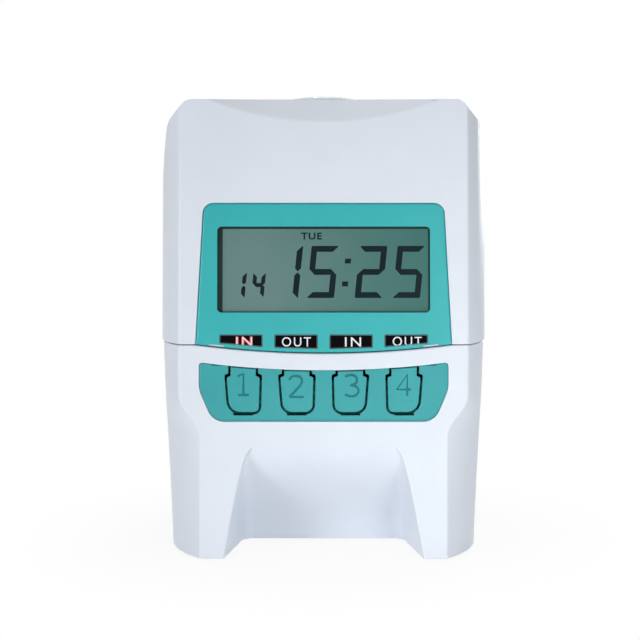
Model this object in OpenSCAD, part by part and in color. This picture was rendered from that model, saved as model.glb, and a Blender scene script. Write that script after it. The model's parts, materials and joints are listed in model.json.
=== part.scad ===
// Card time clock: a white base with a lift-off cover, a turquoise display bezel and key panel,
// and the card printing mechanism inside. Millimetres. The front looks to -Y and +Z is up.
// The origin lies on the ground under the middle of the case.

/* [Body] */
// Width across the upper cover
body_w = 154.4; // [150:0.2:166]
// Depth from the front of the feet to the rear panel
body_d = 118; // [116:1:132]
// Height of the flat top
body_h = 213; // [210:1:226]
// Backward lean of the front face in degrees
lean = 8; // [6:0.5:9]
// Wall of the cover and of the base
wall = 2.6; // [2.2:0.1:3]
// Width of the flat front between the side bevels
face_w = 135; // [131:1:139]
// Depth over which the upper sides round back from the front
bevel_reach = 25; // [20:1:30]
// Radius of the crease between the flat front and its side bevels
crease_r = 2; // [1:0.5:2.5]
// Width of the flat front across the feet
leg_w = 115; // [110:1:120]
// Depth over which the lower sides round back from the front
leg_reach = 39; // [34:1:42]
// Width of the base at the ground
base_w = 144.4; // [142:0.2:150]
// Overhang of the cover past the base on each side
overhang = 1.1; // [0.4:0.1:1.2]
// Radius where each upper corner meets the flat top
top_r = 5; // [3:0.5:7]
// Radius where each upper corner meets the side
corner_r = 12; // [8:1:14]
// Drop from the flat top to where each side turns in to its upper corner
corner_drop = 10.5; // [8:0.5:13]
// Lean-in of each cover side between the shoulder and its upper corner
corner_in = 3.2; // [2:0.2:4]
// Height at which the cover sides start to lean in
shoulder_z = 176; // [150:1:180]
// Distance of each edge of the flat top inside the widest part of the cover
top_in = 12.8; // [11:0.2:14]
// Length above and below the shoulder over which each cover side bends
shoulder_bend = 17; // [8:1:18]
// Thickness of the rear panel
panel_t = 3; // [2.4:0.2:4]
// Chamfer around the outside of the rear panel
panel_edge = 1.4; // [0.6:0.2:1.8]

/* [Parting line] */
// Height of the parting line at the middle of the front
part_z = 95; // [93:0.5:97]
// Radius of the sagging line shared by the parting, the bezel and the key panel
band_r = 460; // [400:10:600]
// Width over which the parting line sags
band_w = 120; // [114:1:124]
// Open gap between the cover and the base
part_gap = 0.4; // [0.3:0.1:0.8]

/* [Front arch] */
// Width of the arch between the feet at the ground
arch_w = 94; // [86:1:98]
// Height at which the arch fades into the front face
arch_h = 58; // [50:1:60]
// Depth of the arch at the ground
arch_d = 41; // [34:1:42]
// Even narrowing of each side of the arch up to its top
arch_close = 10.4; // [8:0.2:14]
// Further narrowing where the arch rounds off at its top
arch_corner = 13.4; // [8:0.2:16]
// Draft of each foot towards the back of the arch
arch_draft = 7; // [4:0.5:9]
// Fillet between the feet and the back of the arch
arch_fillet = 6; // [4:1:12]

/* [Top] */
// Depth of the scoop above the front face, below the flat top
scoop_drop = 10.2; // [7:0.2:12]
// Width of the scoop where it meets the flat top
scoop_w = 108; // [90:1:116]
// Rise of the scoop towards the back in degrees
scoop_slope = 35; // [32:1:45]
// Diameter of the low round boss that holds the key lock
boss_dia = 31; // [28:1:34]
// Height of the boss above the flat top
boss_h = 2.1; // [1.8:0.1:2.4]

/* [Display] */
// Height of the bezel up the face, from the parting line at the middle
bezel_h = 70.6; // [66:0.2:74]
// Width of the bezel at its top
bezel_top_w = 112.6; // [108:0.2:116]
// Width of the bezel at the parting line
bezel_low_w = 121; // [117:0.2:123]
// Radius of the two upper corners of the bezel
bezel_r = 5; // [3:0.5:7]
// Thickness of the bezel
bezel_t = 1.5; // [1.2:0.1:1.6]
// How far the bezel lies below the face of the cover
bezel_sink = 0.4; // [0.2:0.1:0.5]
// Width of the relief at each end of the bezel's foot
relief_w = 7; // [5:0.5:9]
// Height of the relief at each end of the bezel's foot
relief_h = 0.8; // [0.5:0.1:1]
// Width of the display window
window_w = 99.4; // [94:0.2:102]
// Height of the display window
window_h = 40.2; // [36:0.2:42]
// Distance up the face from the parting line to the window
window_lift = 19.3; // [18:0.1:21]
// Corner radius of the display window
window_r = 2; // [1:0.5:3]
// Rim by which the display glass is larger than its window
glass_rim = 3.2; // [2:0.2:3.4]
// Thickness of the display glass
glass_t = 2.8; // [2:0.1:3.2]
// Thickness of the backlight behind the glass
backlight_t = 2.2; // [1.6:0.1:2.6]
// Wall of the frame around the glass
frame_wall = 2.2; // [1.6:0.1:2.4]

/* [Column lamps] */
// Distance between neighbouring lamp plates
lamp_pitch = 25.7; // [24:0.1:27]
// Width of a lamp plate
lamp_w = 20.2; // [18:0.1:22]
// Top of the lamp plates up the face from the parting line
lamp_top = 9; // [8:0.1:10]
// Bezel left between a lamp plate and the parting line
lamp_margin = 2.3; // [1.8:0.1:3]
// How far the lamp plates lie below the front of the bezel
lamp_sink = 0.4; // [0.2:0.1:0.8]
// Diameter of a lamp diode
diode_dia = 3; // [2:0.5:4]

/* [Keys] */
// Distance between neighbouring keys
key_pitch = 25; // [24:0.1:26]
// Width of the cut-out around a key
key_w = 17.6; // [16.5:0.1:18.5]
// Width of the cut-out at the neck of a key
key_neck_w = 14; // [12:0.1:14.4]
// Gap between a key and its cut-out
key_gap = 1.1; // [0.7:0.1:1.2]
// Length a key hangs below its shoulder
key_drop = 19; // [17:0.1:19.5]
// Length of the neck above the shoulder at the middle of the panel
key_neck = 1.5; // [1.2:0.1:3]
// Thickness of a key
key_t = 2; // [1.8:0.1:2.2]
// How far the keys lie below the face of the base
key_sink = 0.1; // [0:0.05:0.2]
// Width of the finger notch below a key
key_notch_w = 9.2; // [7:0.2:10]
// Depth of the finger notch below a key
key_notch_h = 0.5; // [0.3:0.1:0.8]
// Radius of the hinge knuckle of a key
knuckle_r = 1.1; // [0.9:0.1:1.2]
// Height of the white band between the parting line and the key panel
band_h = 7.7; // [7:0.1:9]
// Width of the key panel at its top
key_panel_w = 116.2; // [112:0.2:118]
// Width of the key panel at its foot
key_panel_low_w = 103.2; // [100:0.2:106]
// Height of the key panel at its middle
key_panel_h = 23.8; // [23.4:0.2:26]
// Radius of the lower corners of the key panel
key_panel_r = 8; // [6:0.5:9]
// Height at which the sides of the key panel turn in to its foot
key_panel_bend = 15; // [13:0.5:16]
// Radius of that turn
key_panel_bend_r = 14; // [8:1:16]
// How far the key panel lies below the face of the base
key_panel_sink = 0.3; // [0.2:0.1:0.6]

/* [Lock] */
// Diameter of the lock barrel
lock_dia = 16; // [14:0.5:17]
// Diameter of the lock head
lock_head_dia = 19.6; // [18:0.2:21]
// Diameter of the turning plug
plug_dia = 10; // [8:0.5:11]
// Length of the barrel below the flat top
lock_len = 18; // [16:1:22]
// Reach of the locking cam from the plug axis
cam_len = 24; // [20:1:26]
// Width of the locking cam
cam_w = 12; // [9:0.5:13]
// Distance of the lock axis behind the card
lock_back = 21; // [20:0.5:23]

/* [Card path] */
// Width of the time card
card_w = 86; // [80:1:88]
// Clearance beside the card in the slot
card_side = 2; // [1:0.5:3]
// Width of the card gap between the guides
chute = 5; // [4.8:0.1:6]
// Thickness of the card gripped between the rollers
card_t = 0.4; // [0.3:0.1:0.6]
// Sheet thickness of the card guides
guide_t = 1; // [0.8:0.1:1.2]
// Height of the bottom stop of the card
stop_z = 12; // [10:1:16]

/* [Mechanism] */
// Sheet thickness of the mechanism plates
sheet = 1.5; // [1.2:0.1:2]
// Room between the card edge and the side plates
plate_room = 12.2; // [11:0.2:13]
// Height of the print line above the parting line
print_lift = 9; // [7:0.5:11]
// Diameter of the carriage rod
rod_dia = 6; // [5:0.5:7]
// Diameter of the carriage rail
rail_dia = 4; // [3:0.5:5]
// Width of the print carriage
carriage_w = 28; // [24:1:30]
// Full travel of the print carriage
carriage_travel = 64; // [56:1:66]
// Depth of the ribbon cassette
cassette_d = 22; // [20:0.5:24]
// Height of the ribbon cassette
cassette_h = 11; // [9:0.5:12]
// Height of the ribbon
ribbon_h = 8; // [6:0.5:9]
// Diameter of the ribbon knob
knob_dia = 16; // [12:1:18]
// Pitch radius of the belt pulleys
pulley_r = 5; // [4.5:0.1:5.5]
// Width of the drive belt
belt_w = 4; // [3:0.5:5]
// Diameter of the carriage motor
carriage_motor_dia = 26; // [22:1:27]
// Length of the carriage motor
carriage_motor_len = 18; // [14:1:19]

/* [Feed] */
// Height of the feed rollers above the print line
feed_lift = 30; // [28:0.5:34]
// Radius of the feed rollers
feed_r = 9; // [8:0.1:9.5]
// Radius of the pinch rollers
pinch_r = 6.5; // [5.5:0.1:7]
// Width of each roller
roller_w = 14; // [10:1:18]
// Distance of the rollers from the middle of the card
roller_x = 26; // [22:1:30]
// Diameter of the feed shaft
feed_shaft_dia = 6; // [5:0.5:7]
// Diameter of the pinch shaft
pinch_shaft_dia = 4; // [3:0.5:5]
// Module of the feed gears
gear_module = 0.8; // [0.7:0.05:0.85]
// Teeth of the feed gear
gear_teeth = 36; // [30:2:38]
// Teeth of the motor pinion
pinion_teeth = 18; // [16:2:20]
// Width of the gear teeth
gear_face = 5; // [4:0.5:6]
// Diameter of the feed motor
feed_motor_dia = 30; // [26:1:31]
// Length of the feed motor
feed_motor_len = 18; // [15:1:20]

/* [Power and boards] */
// Thickness of the circuit boards
board_t = 1.6; // [1.2:0.1:2]
// Width of the main board
main_board_w = 100; // [80:1:110]
// Height of the main board
main_board_h = 66; // [55:1:70]
// Width of the transformer core
core_w = 42; // [36:1:46]
// Height of the transformer core
core_h = 35; // [30:1:38]
// Stack of the transformer core
core_d = 16; // [12:1:20]
// Diameter of a backup cell
cell_dia = 10.5; // [9:0.5:11]
// Length of a backup cell
cell_len = 44; // [40:1:46]
// Distance between the two wall keyholes
keyhole_pitch = 90; // [80:1:100]
// Height of the wall keyholes
keyhole_z = 160; // [150:1:170]
// Diameter of the keyhole that passes the screw head
keyhole_dia = 8.5; // [7.5:0.1:9.5]
// Width of the keyhole slot
keyhole_slot_w = 4.5; // [4:0.1:5]
// Diameter of a rubber foot
foot_dia = 12; // [10:0.5:13]
// How far the rubber feet stand below the base
foot_stand = 0.8; // [0.6:0.1:1.2]

/* [Fits] */
// Sliding fit of an inlaid piece in its pocket
fit = 0.15; // [0.1:0.05:0.3]
// Radial running clearance of a shaft or pin
run = 0.06; // [0.04:0.01:0.1]
// Air between pieces that pass each other
air = 0.4; // [0.3:0.1:0.6]

/* [Hidden] */
$fn = 48;

// Colours
white_abs = [0.93, 0.95, 0.97];
turquoise = [0.22, 0.67, 0.67];
black_abs = [0.08, 0.09, 0.1];
display_grey = [0.42, 0.5, 0.47];
board_green = [0.1, 0.36, 0.2];
steel = [0.68, 0.7, 0.72];
brass = [0.78, 0.62, 0.3];
rubber_black = [0.1, 0.1, 0.1];
gear_cream = [0.9, 0.87, 0.76];
dark_iron = [0.35, 0.36, 0.38];

// Case datums
half_w = body_w / 2;
front_y = -body_d / 2;
back_y = body_d / 2;
shell_back = back_y - panel_t - fit;
bevel_steps = 10;
crease_steps = 4;
arc_steps = 10;
arch_steps = 18;
arch_power = 10;
arch_run = 20;
corner_steps = 5;
dome_steps = 8;
floor_z = foot_stand + wall;
part_side = part_z + sag(band_w / 2);
part_s = part_z / cos(lean);
corner_z = body_h - corner_drop;
side_angle = atan(corner_in / (corner_z - shoulder_z));
corner_angle = atan((top_in - corner_in) / (body_h - corner_z)) - side_angle;
shoulder_reach = min(shoulder_bend, corner_z - shoulder_z - 1.1 * corner_r * tan(corner_angle / 2));
shoulder_r = shoulder_reach / tan(side_angle / 2);
// Upper corners of the cover and of the rear panel, from the right shoulder round to the left one
crown_corners = [[half_w, shoulder_z], [half_w - corner_in, corner_z], [half_w - top_in, body_h],
    [top_in - half_w, body_h], [corner_in - half_w, corner_z], [-half_w, shoulder_z]];

// Heights and depths of the display stack, measured up and into the leaning face
pocket_d = bezel_sink + bezel_t;
window_s = part_s + window_lift + window_h / 2;
glass_d = wall + 0.3;
backlight_d = glass_d + glass_t;
board_d = backlight_d + backlight_t + 0.1;
board_back_d = board_d + board_t;
glass_w = window_w + 2 * glass_rim;
glass_h = window_h + 2 * glass_rim;
display_board_w = glass_w + 2 * frame_wall + 14;
lamp_s = part_s + (lamp_margin + lamp_top) / 2;
display_board_low = lamp_s - 4;
display_board_top = window_s + glass_h / 2 + 6;
boss_r = 3;
pilot_r = 1.1;
display_boss_x = display_board_w / 2 - boss_r - 0.4;
display_boss_s = [window_s - glass_h / 2 + 4, display_board_top - 4];
relief_x = (bezel_low_w - relief_w) / 2 - 7;

// Heights and depths of the keys on the leaning face
key_panel_top = part_s - band_h;
key_panel_low = key_panel_top - key_panel_h;
key_mid_s = key_panel_top - key_panel_h / 2;
base_levels = concat([-body_h / 4], [for (i = [0:3]) arch_h * i / 4],
    [for (i = [0:8]) arch_h + (key_mid_s - arch_h) * i / 8],
    [(key_mid_s + part_s) / 2, part_s, part_side * 1.4]);
key_shoulder = key_panel_top - key_neck;
key_step = 0.6;
key_low = key_shoulder - key_drop;
key_xs = [for (i = [0:3]) (i - 1.5) * key_pitch];
flange_rim = 3;
flange_low = key_panel_w / 2 - 1.5 + flange_rim;
flange_t = 2;
knuckle_d = wall + air + knuckle_r;
knuckle_s = key_panel_top + sag(1.5 * key_pitch + key_neck_w / 2) + knuckle_r + air;
knuckle_seat = 0.1;
hinge_bar_top = knuckle_s + knuckle_r + 1.2;
hinge_bar_t = 2 * knuckle_r + air + 1;
post_s = key_low + 7;
post_r = 2.4;
post_d = 5;
switch_reach = 0.9;
switch_body_d = post_d + switch_reach + 0.8;
switch_h = 3.5;
switch_board_d = switch_body_d + switch_h;
switch_board_w = 3 * key_pitch + key_w + 12;
switch_post_xs = [-key_pitch, 0, key_pitch];
switch_post_s = key_panel_low + 1.2;

// Card and mechanism datums
plate_x = card_w / 2 + plate_room;
plate_out = plate_x + sheet;
print_z = part_z + print_lift;
head_h = 13;
cassette_z = print_z + 10;
cassette_top = cassette_z + cassette_h;
display_room = 2.4;
cassette_front = depth_y(cassette_top, board_back_d + display_room);
ribbon_y = cassette_front + cassette_d;
ribbon_t = 0.3;
card_y = ribbon_y + ribbon_t + 1 + guide_t + chute / 2;
front_guide_y = card_y - chute / 2 - guide_t;
rear_guide_y = card_y + chute / 2;
guide_top = body_h - wall - 2;
slot_w = card_w + 2 * card_side;
guide_half = slot_w / 2 + 4;
mouth_h = 6;
mouth_flare = 3;
plate_front = cassette_front - 2;
plate_back = card_y + 32;
plate_low = floor_z;
feed_z = print_z + feed_lift;
feed_y = card_y + card_t / 2 + feed_r;
pinch_y = card_y - card_t / 2 - pinch_r;
plate_top = feed_z + 13;
plate_toe = card_y - 13;
plate_head = pinch_y - 8;
plate_cut = 14;
plate_chin = 8;
plate_throat = 20;
plate_hole_r = 8;
plate_hole_y = card_y + 9;
plate_hole_zs = [plate_low + 22, plate_low + 44];
gear_gap = gear_module * (gear_teeth + pinion_teeth) / 2;
pinion_y = feed_y + gear_gap;
gear_x = plate_out + 2.5;
spoke_r = gear_module * gear_teeth * 0.3;
bush_r = feed_shaft_dia / 2 + 1.5;
bush_flange = 1.2;
motor_spigot = 3.6;
shelf_z = print_z - 28;
cross_y = plate_back - 12;
cross_low = 22;
cross_high = 8;
cross_window = 18;
cross_pitch = 30;
rod_y = cassette_front + 8;
rod_z = print_z - 14;
rail_y = cassette_front + 2.2;
rail_z = print_z - 5;
rail_slot = rail_dia / 2 + 2 * run;
nose_len = 5;
fin_pitch = 2.6;
carriage_x = -carriage_travel / 2;
carriage_low = shelf_z + sheet + belt_w + 3;
carriage_front = rail_y - rail_dia / 2;
carriage_back = rod_y + 8;
belt_z = shelf_z + sheet + 1.2;
belt_t = 1.2;
belt_y = rod_y + 2;
drive_x = carriage_motor_dia / 2 + 1 - plate_x;
pulley_rim = 1.6;
idler_x = plate_x - pulley_r - pulley_rim - 0.8;
pulley_flange = 1.2;
idler_post_r = 1.5;
clamp_x = 3;
clamp_w = 5;
head_front = rail_y + rail_dia / 2 + 2 * air;
head_w = 22;
knob_x = plate_x - knob_dia / 2 - 2;
knob_y = cassette_front + cassette_d / 2;
spindle_r = 3;
arm_w = 6;

// Lock datums
lock_y = card_y + lock_back;
boss_edge = 0.5;
lock_head_t = 1.5;
head_low = boss_z(lock_head_dia / 2) - lock_head_t;
cam_t = 2;
cam_top = body_h - lock_len - 1;
cam_square = plug_dia * 0.3;
cam_hole = cam_square + 0.05;
keyway_w = 1.8;
nut_t = 4;
plug_top = boss_z(plug_dia / 2) - 0.1;
catch_w = 14;
catch_front = lock_y + max(lock_dia / 2, cam_w / 2) + 2.2;

rib_x = slot_w / 2 + 8;
rib_t = 1.6;
rib_h = 5;
rib_front = 10;

// Rear and floor datums
main_board_y = shell_back - 8 - board_t;
main_board_z = 48;
processor = [24, 2.4, 18];
driver = [8, 3, 18];
plug = [10, 8, 6];
driver_xs = [-36, -24];
plug_xs = [23, 37];
can_xs = [-38, -26, 24];
chip_row = 37;
plug_row = 57;
can_row = 14;
can_r = 4;
can_h = 12;
choke_x = 38;
choke_row = 30;
choke_r = 6;
choke_h = 6;
transformer_x = -27;
transformer_y = main_board_y - core_d / 2 - 10;
battery_x = 26;
battery_y = rear_guide_y + guide_t + 5 + cell_dia / 2;
vent_count = 5;
vent_w = 44;
vent_h = 2.4;
vent_pitch = 6;
vent_z = 128;
inlet_x = 44;
inlet_z = 30;
inlet_w = 20;
inlet_h = 13;
inlet_r = 3;
inlet_rim = 2;
inlet_wall = 2.5;
inlet_len = 16;
inlet_bed = 4;
pin_root = 1;
panel_low_r = 3;
rear_screw_x = half_w - 12;
rear_screw_zs = [14, part_z - 11];
boss_len = 14;
web_t = 2;
foot_places = [[leg_w / 2 - 3, 3 - leg_reach], [leg_w / 2 + 2, back_y - 16]];
foot_seat = 0.8;
chassis_screw_ys = [card_y - 8, card_y + 24];
flange_out = base_half(plate_low) - wall - air;
chassis_screw_x = (plate_out + flange_out) / 2;
lip_x = half_w - wall - air;
lip_t = 2;
pin_r = 1.2;
pin_gap = 8.6;
inlet_floor = shell_back - inlet_len + inlet_bed;

// Rise of the sagging line at a distance x from the middle
function sag(x) = band_r - sqrt(band_r * band_r - x * x);

// Smooth step from 0 to 1
function ease(u) = let (v = min(1, max(0, u))) v * v * (3 - 2 * v);

// Depth coordinate y of a point at height z that lies d behind the leaning face
function depth_y(z, d) = front_y + z * tan(lean) + d / cos(lean);

// One corner b of an outline, rounded by radius r between its neighbours a and c
function round_corner(a, b, c, r) =
    let (u = (a - b) / norm(a - b), v = (c - b) / norm(c - b), half = acos(u * v) / 2,
        start = b + u * r / tan(half), end = b + v * r / tan(half),
        middle = b + (u + v) / norm(u + v) * r / sin(half))
    [for (i = [0:corner_steps])
        let (k = i / corner_steps, spoke = (start - middle) * (1 - k) + (end - middle) * k)
        middle + spoke / norm(spoke) * r];

// Outline with each corner rounded by its own radius, 0 for a sharp corner
function rounded(points, radii) = let (n = len(points))
    [for (i = [0:n - 1]) each radii[i] > 0
        ? round_corner(points[(i + n - 1) % n], points[i], points[(i + 1) % n], radii[i]) : [points[i]]];

// Rectangle with round corners about a centre
function rounded_box(w, h, r, cx = 0, cy = 0) = rounded(
    [[cx - w / 2, cy - h / 2], [cx + w / 2, cy - h / 2], [cx + w / 2, cy + h / 2], [cx - w / 2, cy + h / 2]],
    [r, r, r, r]);

// Height of the crowned boss at a distance r from its axis
function boss_z(r) = body_h + boss_edge + (boss_h - boss_edge) * (1 - pow(2 * r / boss_dia, 2));

// Counter-clockwise outline with each side moved inwards by d
function inward(points, d) = let (n = len(points))
    [for (i = [0:n - 1]) let (a = points[i] - points[(i + n - 1) % n], b = points[(i + 1) % n] - points[i],
        u = [-a[1], a[0]] / norm(a), v = [-b[1], b[0]] / norm(b)) points[i] + (u + v) * d / (1 + u * v)];

// Radii of the upper corners drawn inwards by d
function crown_radii(d) = [shoulder_r, corner_r - d, top_r - d, top_r - d, corner_r - d, shoulder_r];

// Quarter circle about a centre, from its +x side round to its +y side
function quarter(cx, cy, r) = [for (i = [0:corner_steps]) let (a = 90 * i / corner_steps)
    [cx + r * cos(a), cy + r * sin(a)]];

// Right half of an outline completed by its mirror image
function both_sides(points) = concat(points,
    [for (i = [len(points) - 1:-1:0]) [-points[i][0], points[i][1]]]);

// Side of a plan that rounds back from a flat front with a soft crease, drawn inwards by inset
function plan_side(face_half, side_half, reach, inset) =
    let (r = (pow(side_half - face_half, 2) + reach * reach) / (2 * (side_half - face_half)),
        crease = max(0, crease_r - inset), near = inset + crease - reach, far = r - inset - crease,
        first = asin(near / far), across = side_half - r + far * cos(first),
        soft = [for (i = [0:crease_steps - 1]) let (a = (first + 90) * i / crease_steps - 90)
            [across + crease * cos(a), inset + crease + crease * sin(a)]],
        round = [for (i = [0:bevel_steps]) let (a = first * (1 - i / bevel_steps))
            [side_half - r + (r - inset) * cos(a), reach + (r - inset) * sin(a)]])
    crease > 0 ? concat(soft, round) : round;

// Plan of the upper cover
function cover_plan(inset) = both_sides(concat(
    plan_side(face_w / 2, half_w, bevel_reach, inset), [[half_w - inset, 2 * body_d]]));

// Front outline of the upper cover
function cover_front(inset) = rounded(
    inward(concat([[-half_w, -wall], [half_w, -wall]], crown_corners), inset),
    concat([0, 0], crown_radii(inset)));

// Half width of the tapering base at height z
function base_half(z) = base_w / 2 + (half_w - overhang - base_w / 2) * z / part_side;

// Front outline of the base from its underside low upwards
function base_front(inset, low) = let (high = part_side + 20)
    [[inset - base_half(low), low], [base_half(low) - inset, low],
    [base_half(high) - inset, high], [inset - base_half(high), high]];

// Plan of the base at a distance s up the face: narrow at the feet, wide at the key panel
function base_plan(s, inset) =
    let (k = ease((s - arch_h) / (key_mid_s - arch_h)), side = base_half(s) + 0.4,
        half = leg_w / 2 + (face_w - leg_w) / 2 * k,
        reach = leg_reach + (bevel_reach - leg_reach) * ease(s / part_s))
    [for (p = both_sides(concat(plan_side(half, side, reach, inset), [[side + 6, 2 * body_d]])))
        [p[0], p[1], s]];

// Plan of the front arch at height z, grown by the wall for its inside
function arch_plan(z, grow) =
    let (h = max(0, z), rise = h / arch_h, draft = arch_draft / arch_d,
        half = arch_w / 2 - arch_close * rise - arch_corner * pow(rise, arch_power) + grow,
        depth = (arch_d + 1) * (1 + cos(180 * rise)) / 2 - 1 + grow,
        r = max(0.5, min(arch_fillet, depth * 0.8)), face = front_y + h * tan(lean),
        inner = half - draft * max(0, depth) - r, mouth = half + draft * arch_run)
    concat([[-mouth, face - arch_run, z], [mouth, face - arch_run, z]],
        [for (p = both_sides(quarter(inner, face + depth - r, r))) [p[0], p[1], z]]);

// Outline of the rear panel, drawn inwards by inset
function rear_outline(inset) = rounded(
    inward(concat([[-half_w, part_side], [-base_half(foot_stand), foot_stand],
        [base_half(foot_stand), foot_stand], [half_w, part_side]], crown_corners), inset),
    concat([0, panel_low_r, panel_low_r, 0], crown_radii(inset)));

// Outline of the bezel, carried below the parting line where the parting cuts it
function bezel_outline(inset) = let (low = part_s - 6, high = part_s + bezel_h - inset)
    rounded([[inset - bezel_low_w / 2, low], [bezel_low_w / 2 - inset, low],
        [bezel_top_w / 2 - inset, high], [inset - bezel_top_w / 2, high]],
        [0, 0, bezel_r - inset, bezel_r - inset]);

// Outline of lamp plate i, whose foot follows the parting line
function lamp_outline(i, inset) =
    let (x = (i - 1.5) * lamp_pitch, l = x - lamp_w / 2 + inset, r = x + lamp_w / 2 - inset,
        low = part_s + lamp_margin + inset, high = part_s + lamp_top - inset)
    rounded([[l, low + sag(l)], [r, low + sag(r)], [r, high], [l, high]], [0.6, 0.6, 0.6, 0.6]);

// Outline of the key panel under its sagging top edge
function key_panel_outline(inset) =
    let (top = key_panel_w / 2 - inset, low = key_panel_low_w / 2 - inset, low_s = key_panel_low + inset,
        bend_s = key_panel_low + key_panel_bend,
        edge = [for (i = [arc_steps:-1:-arc_steps]) let (x = top * i / arc_steps)
            [x, key_panel_top - inset + sag(x)]])
    rounded(concat([[-top, bend_s], [-low, low_s], [low, low_s], [top, bend_s]], edge),
        concat([key_panel_bend_r, key_panel_r, key_panel_r, key_panel_bend_r, 1.5],
            [for (i = [1:2 * arc_steps - 1]) 0], [1.5]));

// Outline of key i or, with no inset, of its cut-out, from its foot up to the height top
function key_outline(i, inset, top) =
    let (x = key_xs[i], out = x > 0 ? 1 : -1, neck = key_neck_w / 2 - inset, side = key_w / 2 - inset,
        outer_low = side - 1.4, inner_low = side - 0.4, low = key_low + inset,
        outer_r = abs(x) > key_pitch ? 6.5 : 5.5, inner_r = abs(x) > key_pitch ? 3.5 : 4.5,
        step_s = key_shoulder - inset,
        points = [[-neck, top], [-neck, step_s], [-side, step_s - key_step], [-inner_low, low], [outer_low, low],
            [side, step_s - key_step], [neck, step_s], [neck, top]],
        radii = [0, 0.4, 0.8, inner_r - inset, outer_r - inset, 0.8, 0.4, 0])
    [for (p = rounded(points, radii)) [x + out * p[0], p[1]]];

// Angle of the involute at radius r on base radius b, in degrees
function involute(b, r) = let (t = sqrt(max(0, pow(r / b, 2) - 1))) t * 180 / PI - atan(t);

// Outline of a spur gear with a tooth on its +x axis and a little backlash
function gear_outline(teeth) =
    let (pitch = gear_module * teeth / 2, base = pitch * cos(20), root = pitch - 1.25 * gear_module,
        tip = pitch + 0.9 * gear_module, flank = 4, half = 90 / teeth - 2.4 / pitch + involute(base, pitch))
    [for (k = [0:teeth - 1], side = [-1, 1], i = [0:flank])
        let (step = side < 0 ? i : flank - i, r = root + (tip - root) * step / flank,
            a = 360 * k / teeth + side * (half - involute(base, max(base, r))))
        [r * cos(a), r * sin(a)]];

// Closed body through sections of equal length, each counter-clockwise seen from the last one
module loft(sections) {
    n = len(sections);
    m = len(sections[0]);
    sides = [for (i = [0:n - 2], j = [0:m - 1]) each
        let (a = i * m + j, b = i * m + (j + 1) % m) [[a, a + m, b + m], [a, b + m, b]]];
    polyhedron([for (section = sections) each section],
        concat([[for (j = [0:m - 1]) j]], sides, [[for (j = [m - 1:-1:0]) (n - 1) * m + j]]));
}

// Places children in the frame of the leaning face: x across, y into the case, z up the face
module on_face() translate([0, front_y, 0]) rotate([-lean, 0, 0]) children();

// Flat outline on the face, given thickness from depth near to depth far
module face_slab(near, far) on_face() y_slab(near, far) children();

// Round peg standing square to the face
module face_peg(x, s, near, far, r) on_face() y_bar(near, far, x, s, r);

// Outline in x and z, given thickness from y near to y far
module y_slab(near, far) translate([0, far, 0]) rotate([90, 0, 0]) linear_extrude(far - near) children();

// Outline in y and z, given thickness from x left to x right
module x_slab(left, right) translate([left, 0, 0]) rotate([90, 0, 90])
    linear_extrude(right - left) children();

// Round bar along x
module x_bar(left, right, y, z, r) translate([left, y, z]) rotate([0, 90, 0])
    cylinder(r = r, h = right - left);

// Round bar along y
module y_bar(near, far, x, z, r) translate([x, near, z]) rotate([-90, 0, 0])
    cylinder(r = r, h = far - near);

// Block between two corners
module block(low, high) translate(low) cube(high - low);

// Parting line across the whole width, lifted by gap
function part_line(gap) = concat([[-body_w, part_side + gap]],
    [for (i = [-arc_steps:arc_steps]) let (x = band_w / 2 * i / arc_steps) [x, part_z + sag(x) + gap]],
    [[body_w, part_side + gap]]);

// Space above the parting line, lifted by gap
module above_part(gap) y_slab(-body_d, body_d)
    polygon(concat(part_line(gap), [[body_w, 2 * body_h], [-body_w, 2 * body_h]]));

// Space below the parting line, lifted by gap
module below_part(gap) y_slab(-body_d, body_d)
    polygon(concat(part_line(gap), [[body_w, -wall], [-body_w, -wall]]));

// Cylinder that scoops the top edge of the front, widened by grow
module scoop(grow) {
    drop_z = body_h - scoop_drop;
    depth = scoop_drop * cos(lean + scoop_slope) / cos(lean);
    r = (pow(scoop_w / 2, 2) + depth * depth) / (2 * depth);
    translate([0, depth_y(drop_z, 0), drop_z]) rotate([scoop_slope, 0, 0]) translate([0, 0, r])
        rotate([90, 0, 0]) cylinder(r = r + grow, h = 3 * body_d, center = true, $fn = 180);
}

// Outer or inner form of the upper cover
module cover_form(inset, back) difference() {
    intersection() {
        on_face() translate([0, 0, -body_h]) linear_extrude(3 * body_h) polygon(cover_plan(inset));
        y_slab(-body_d, back) polygon(cover_front(inset));
    }
    scoop(inset);
}

// Outer or inner form of the base
module base_form(inset, low, back) intersection() {
    on_face() loft([for (s = base_levels) base_plan(s, inset)]);
    y_slab(-body_d, back) polygon(base_front(inset, low));
}

// Hollow of the front arch
module arch(grow)
    loft([for (z = concat([-wall], [for (i = [0:arch_steps]) arch_h * i / arch_steps])) arch_plan(z, grow)]);

// Low turned boss around the lock head
module lock_boss() translate([0, lock_y, 0]) dome(boss_dia / 2, body_h - wall);

// Turned dome from its underside low up to the crowned top of the boss
module dome(r, low) rotate_extrude() polygon(concat([[0, low], [r, low]],
    [for (i = [0:dome_steps]) let (x = r * (1 - i / dome_steps)) [x, boss_z(x)]]));

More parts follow.
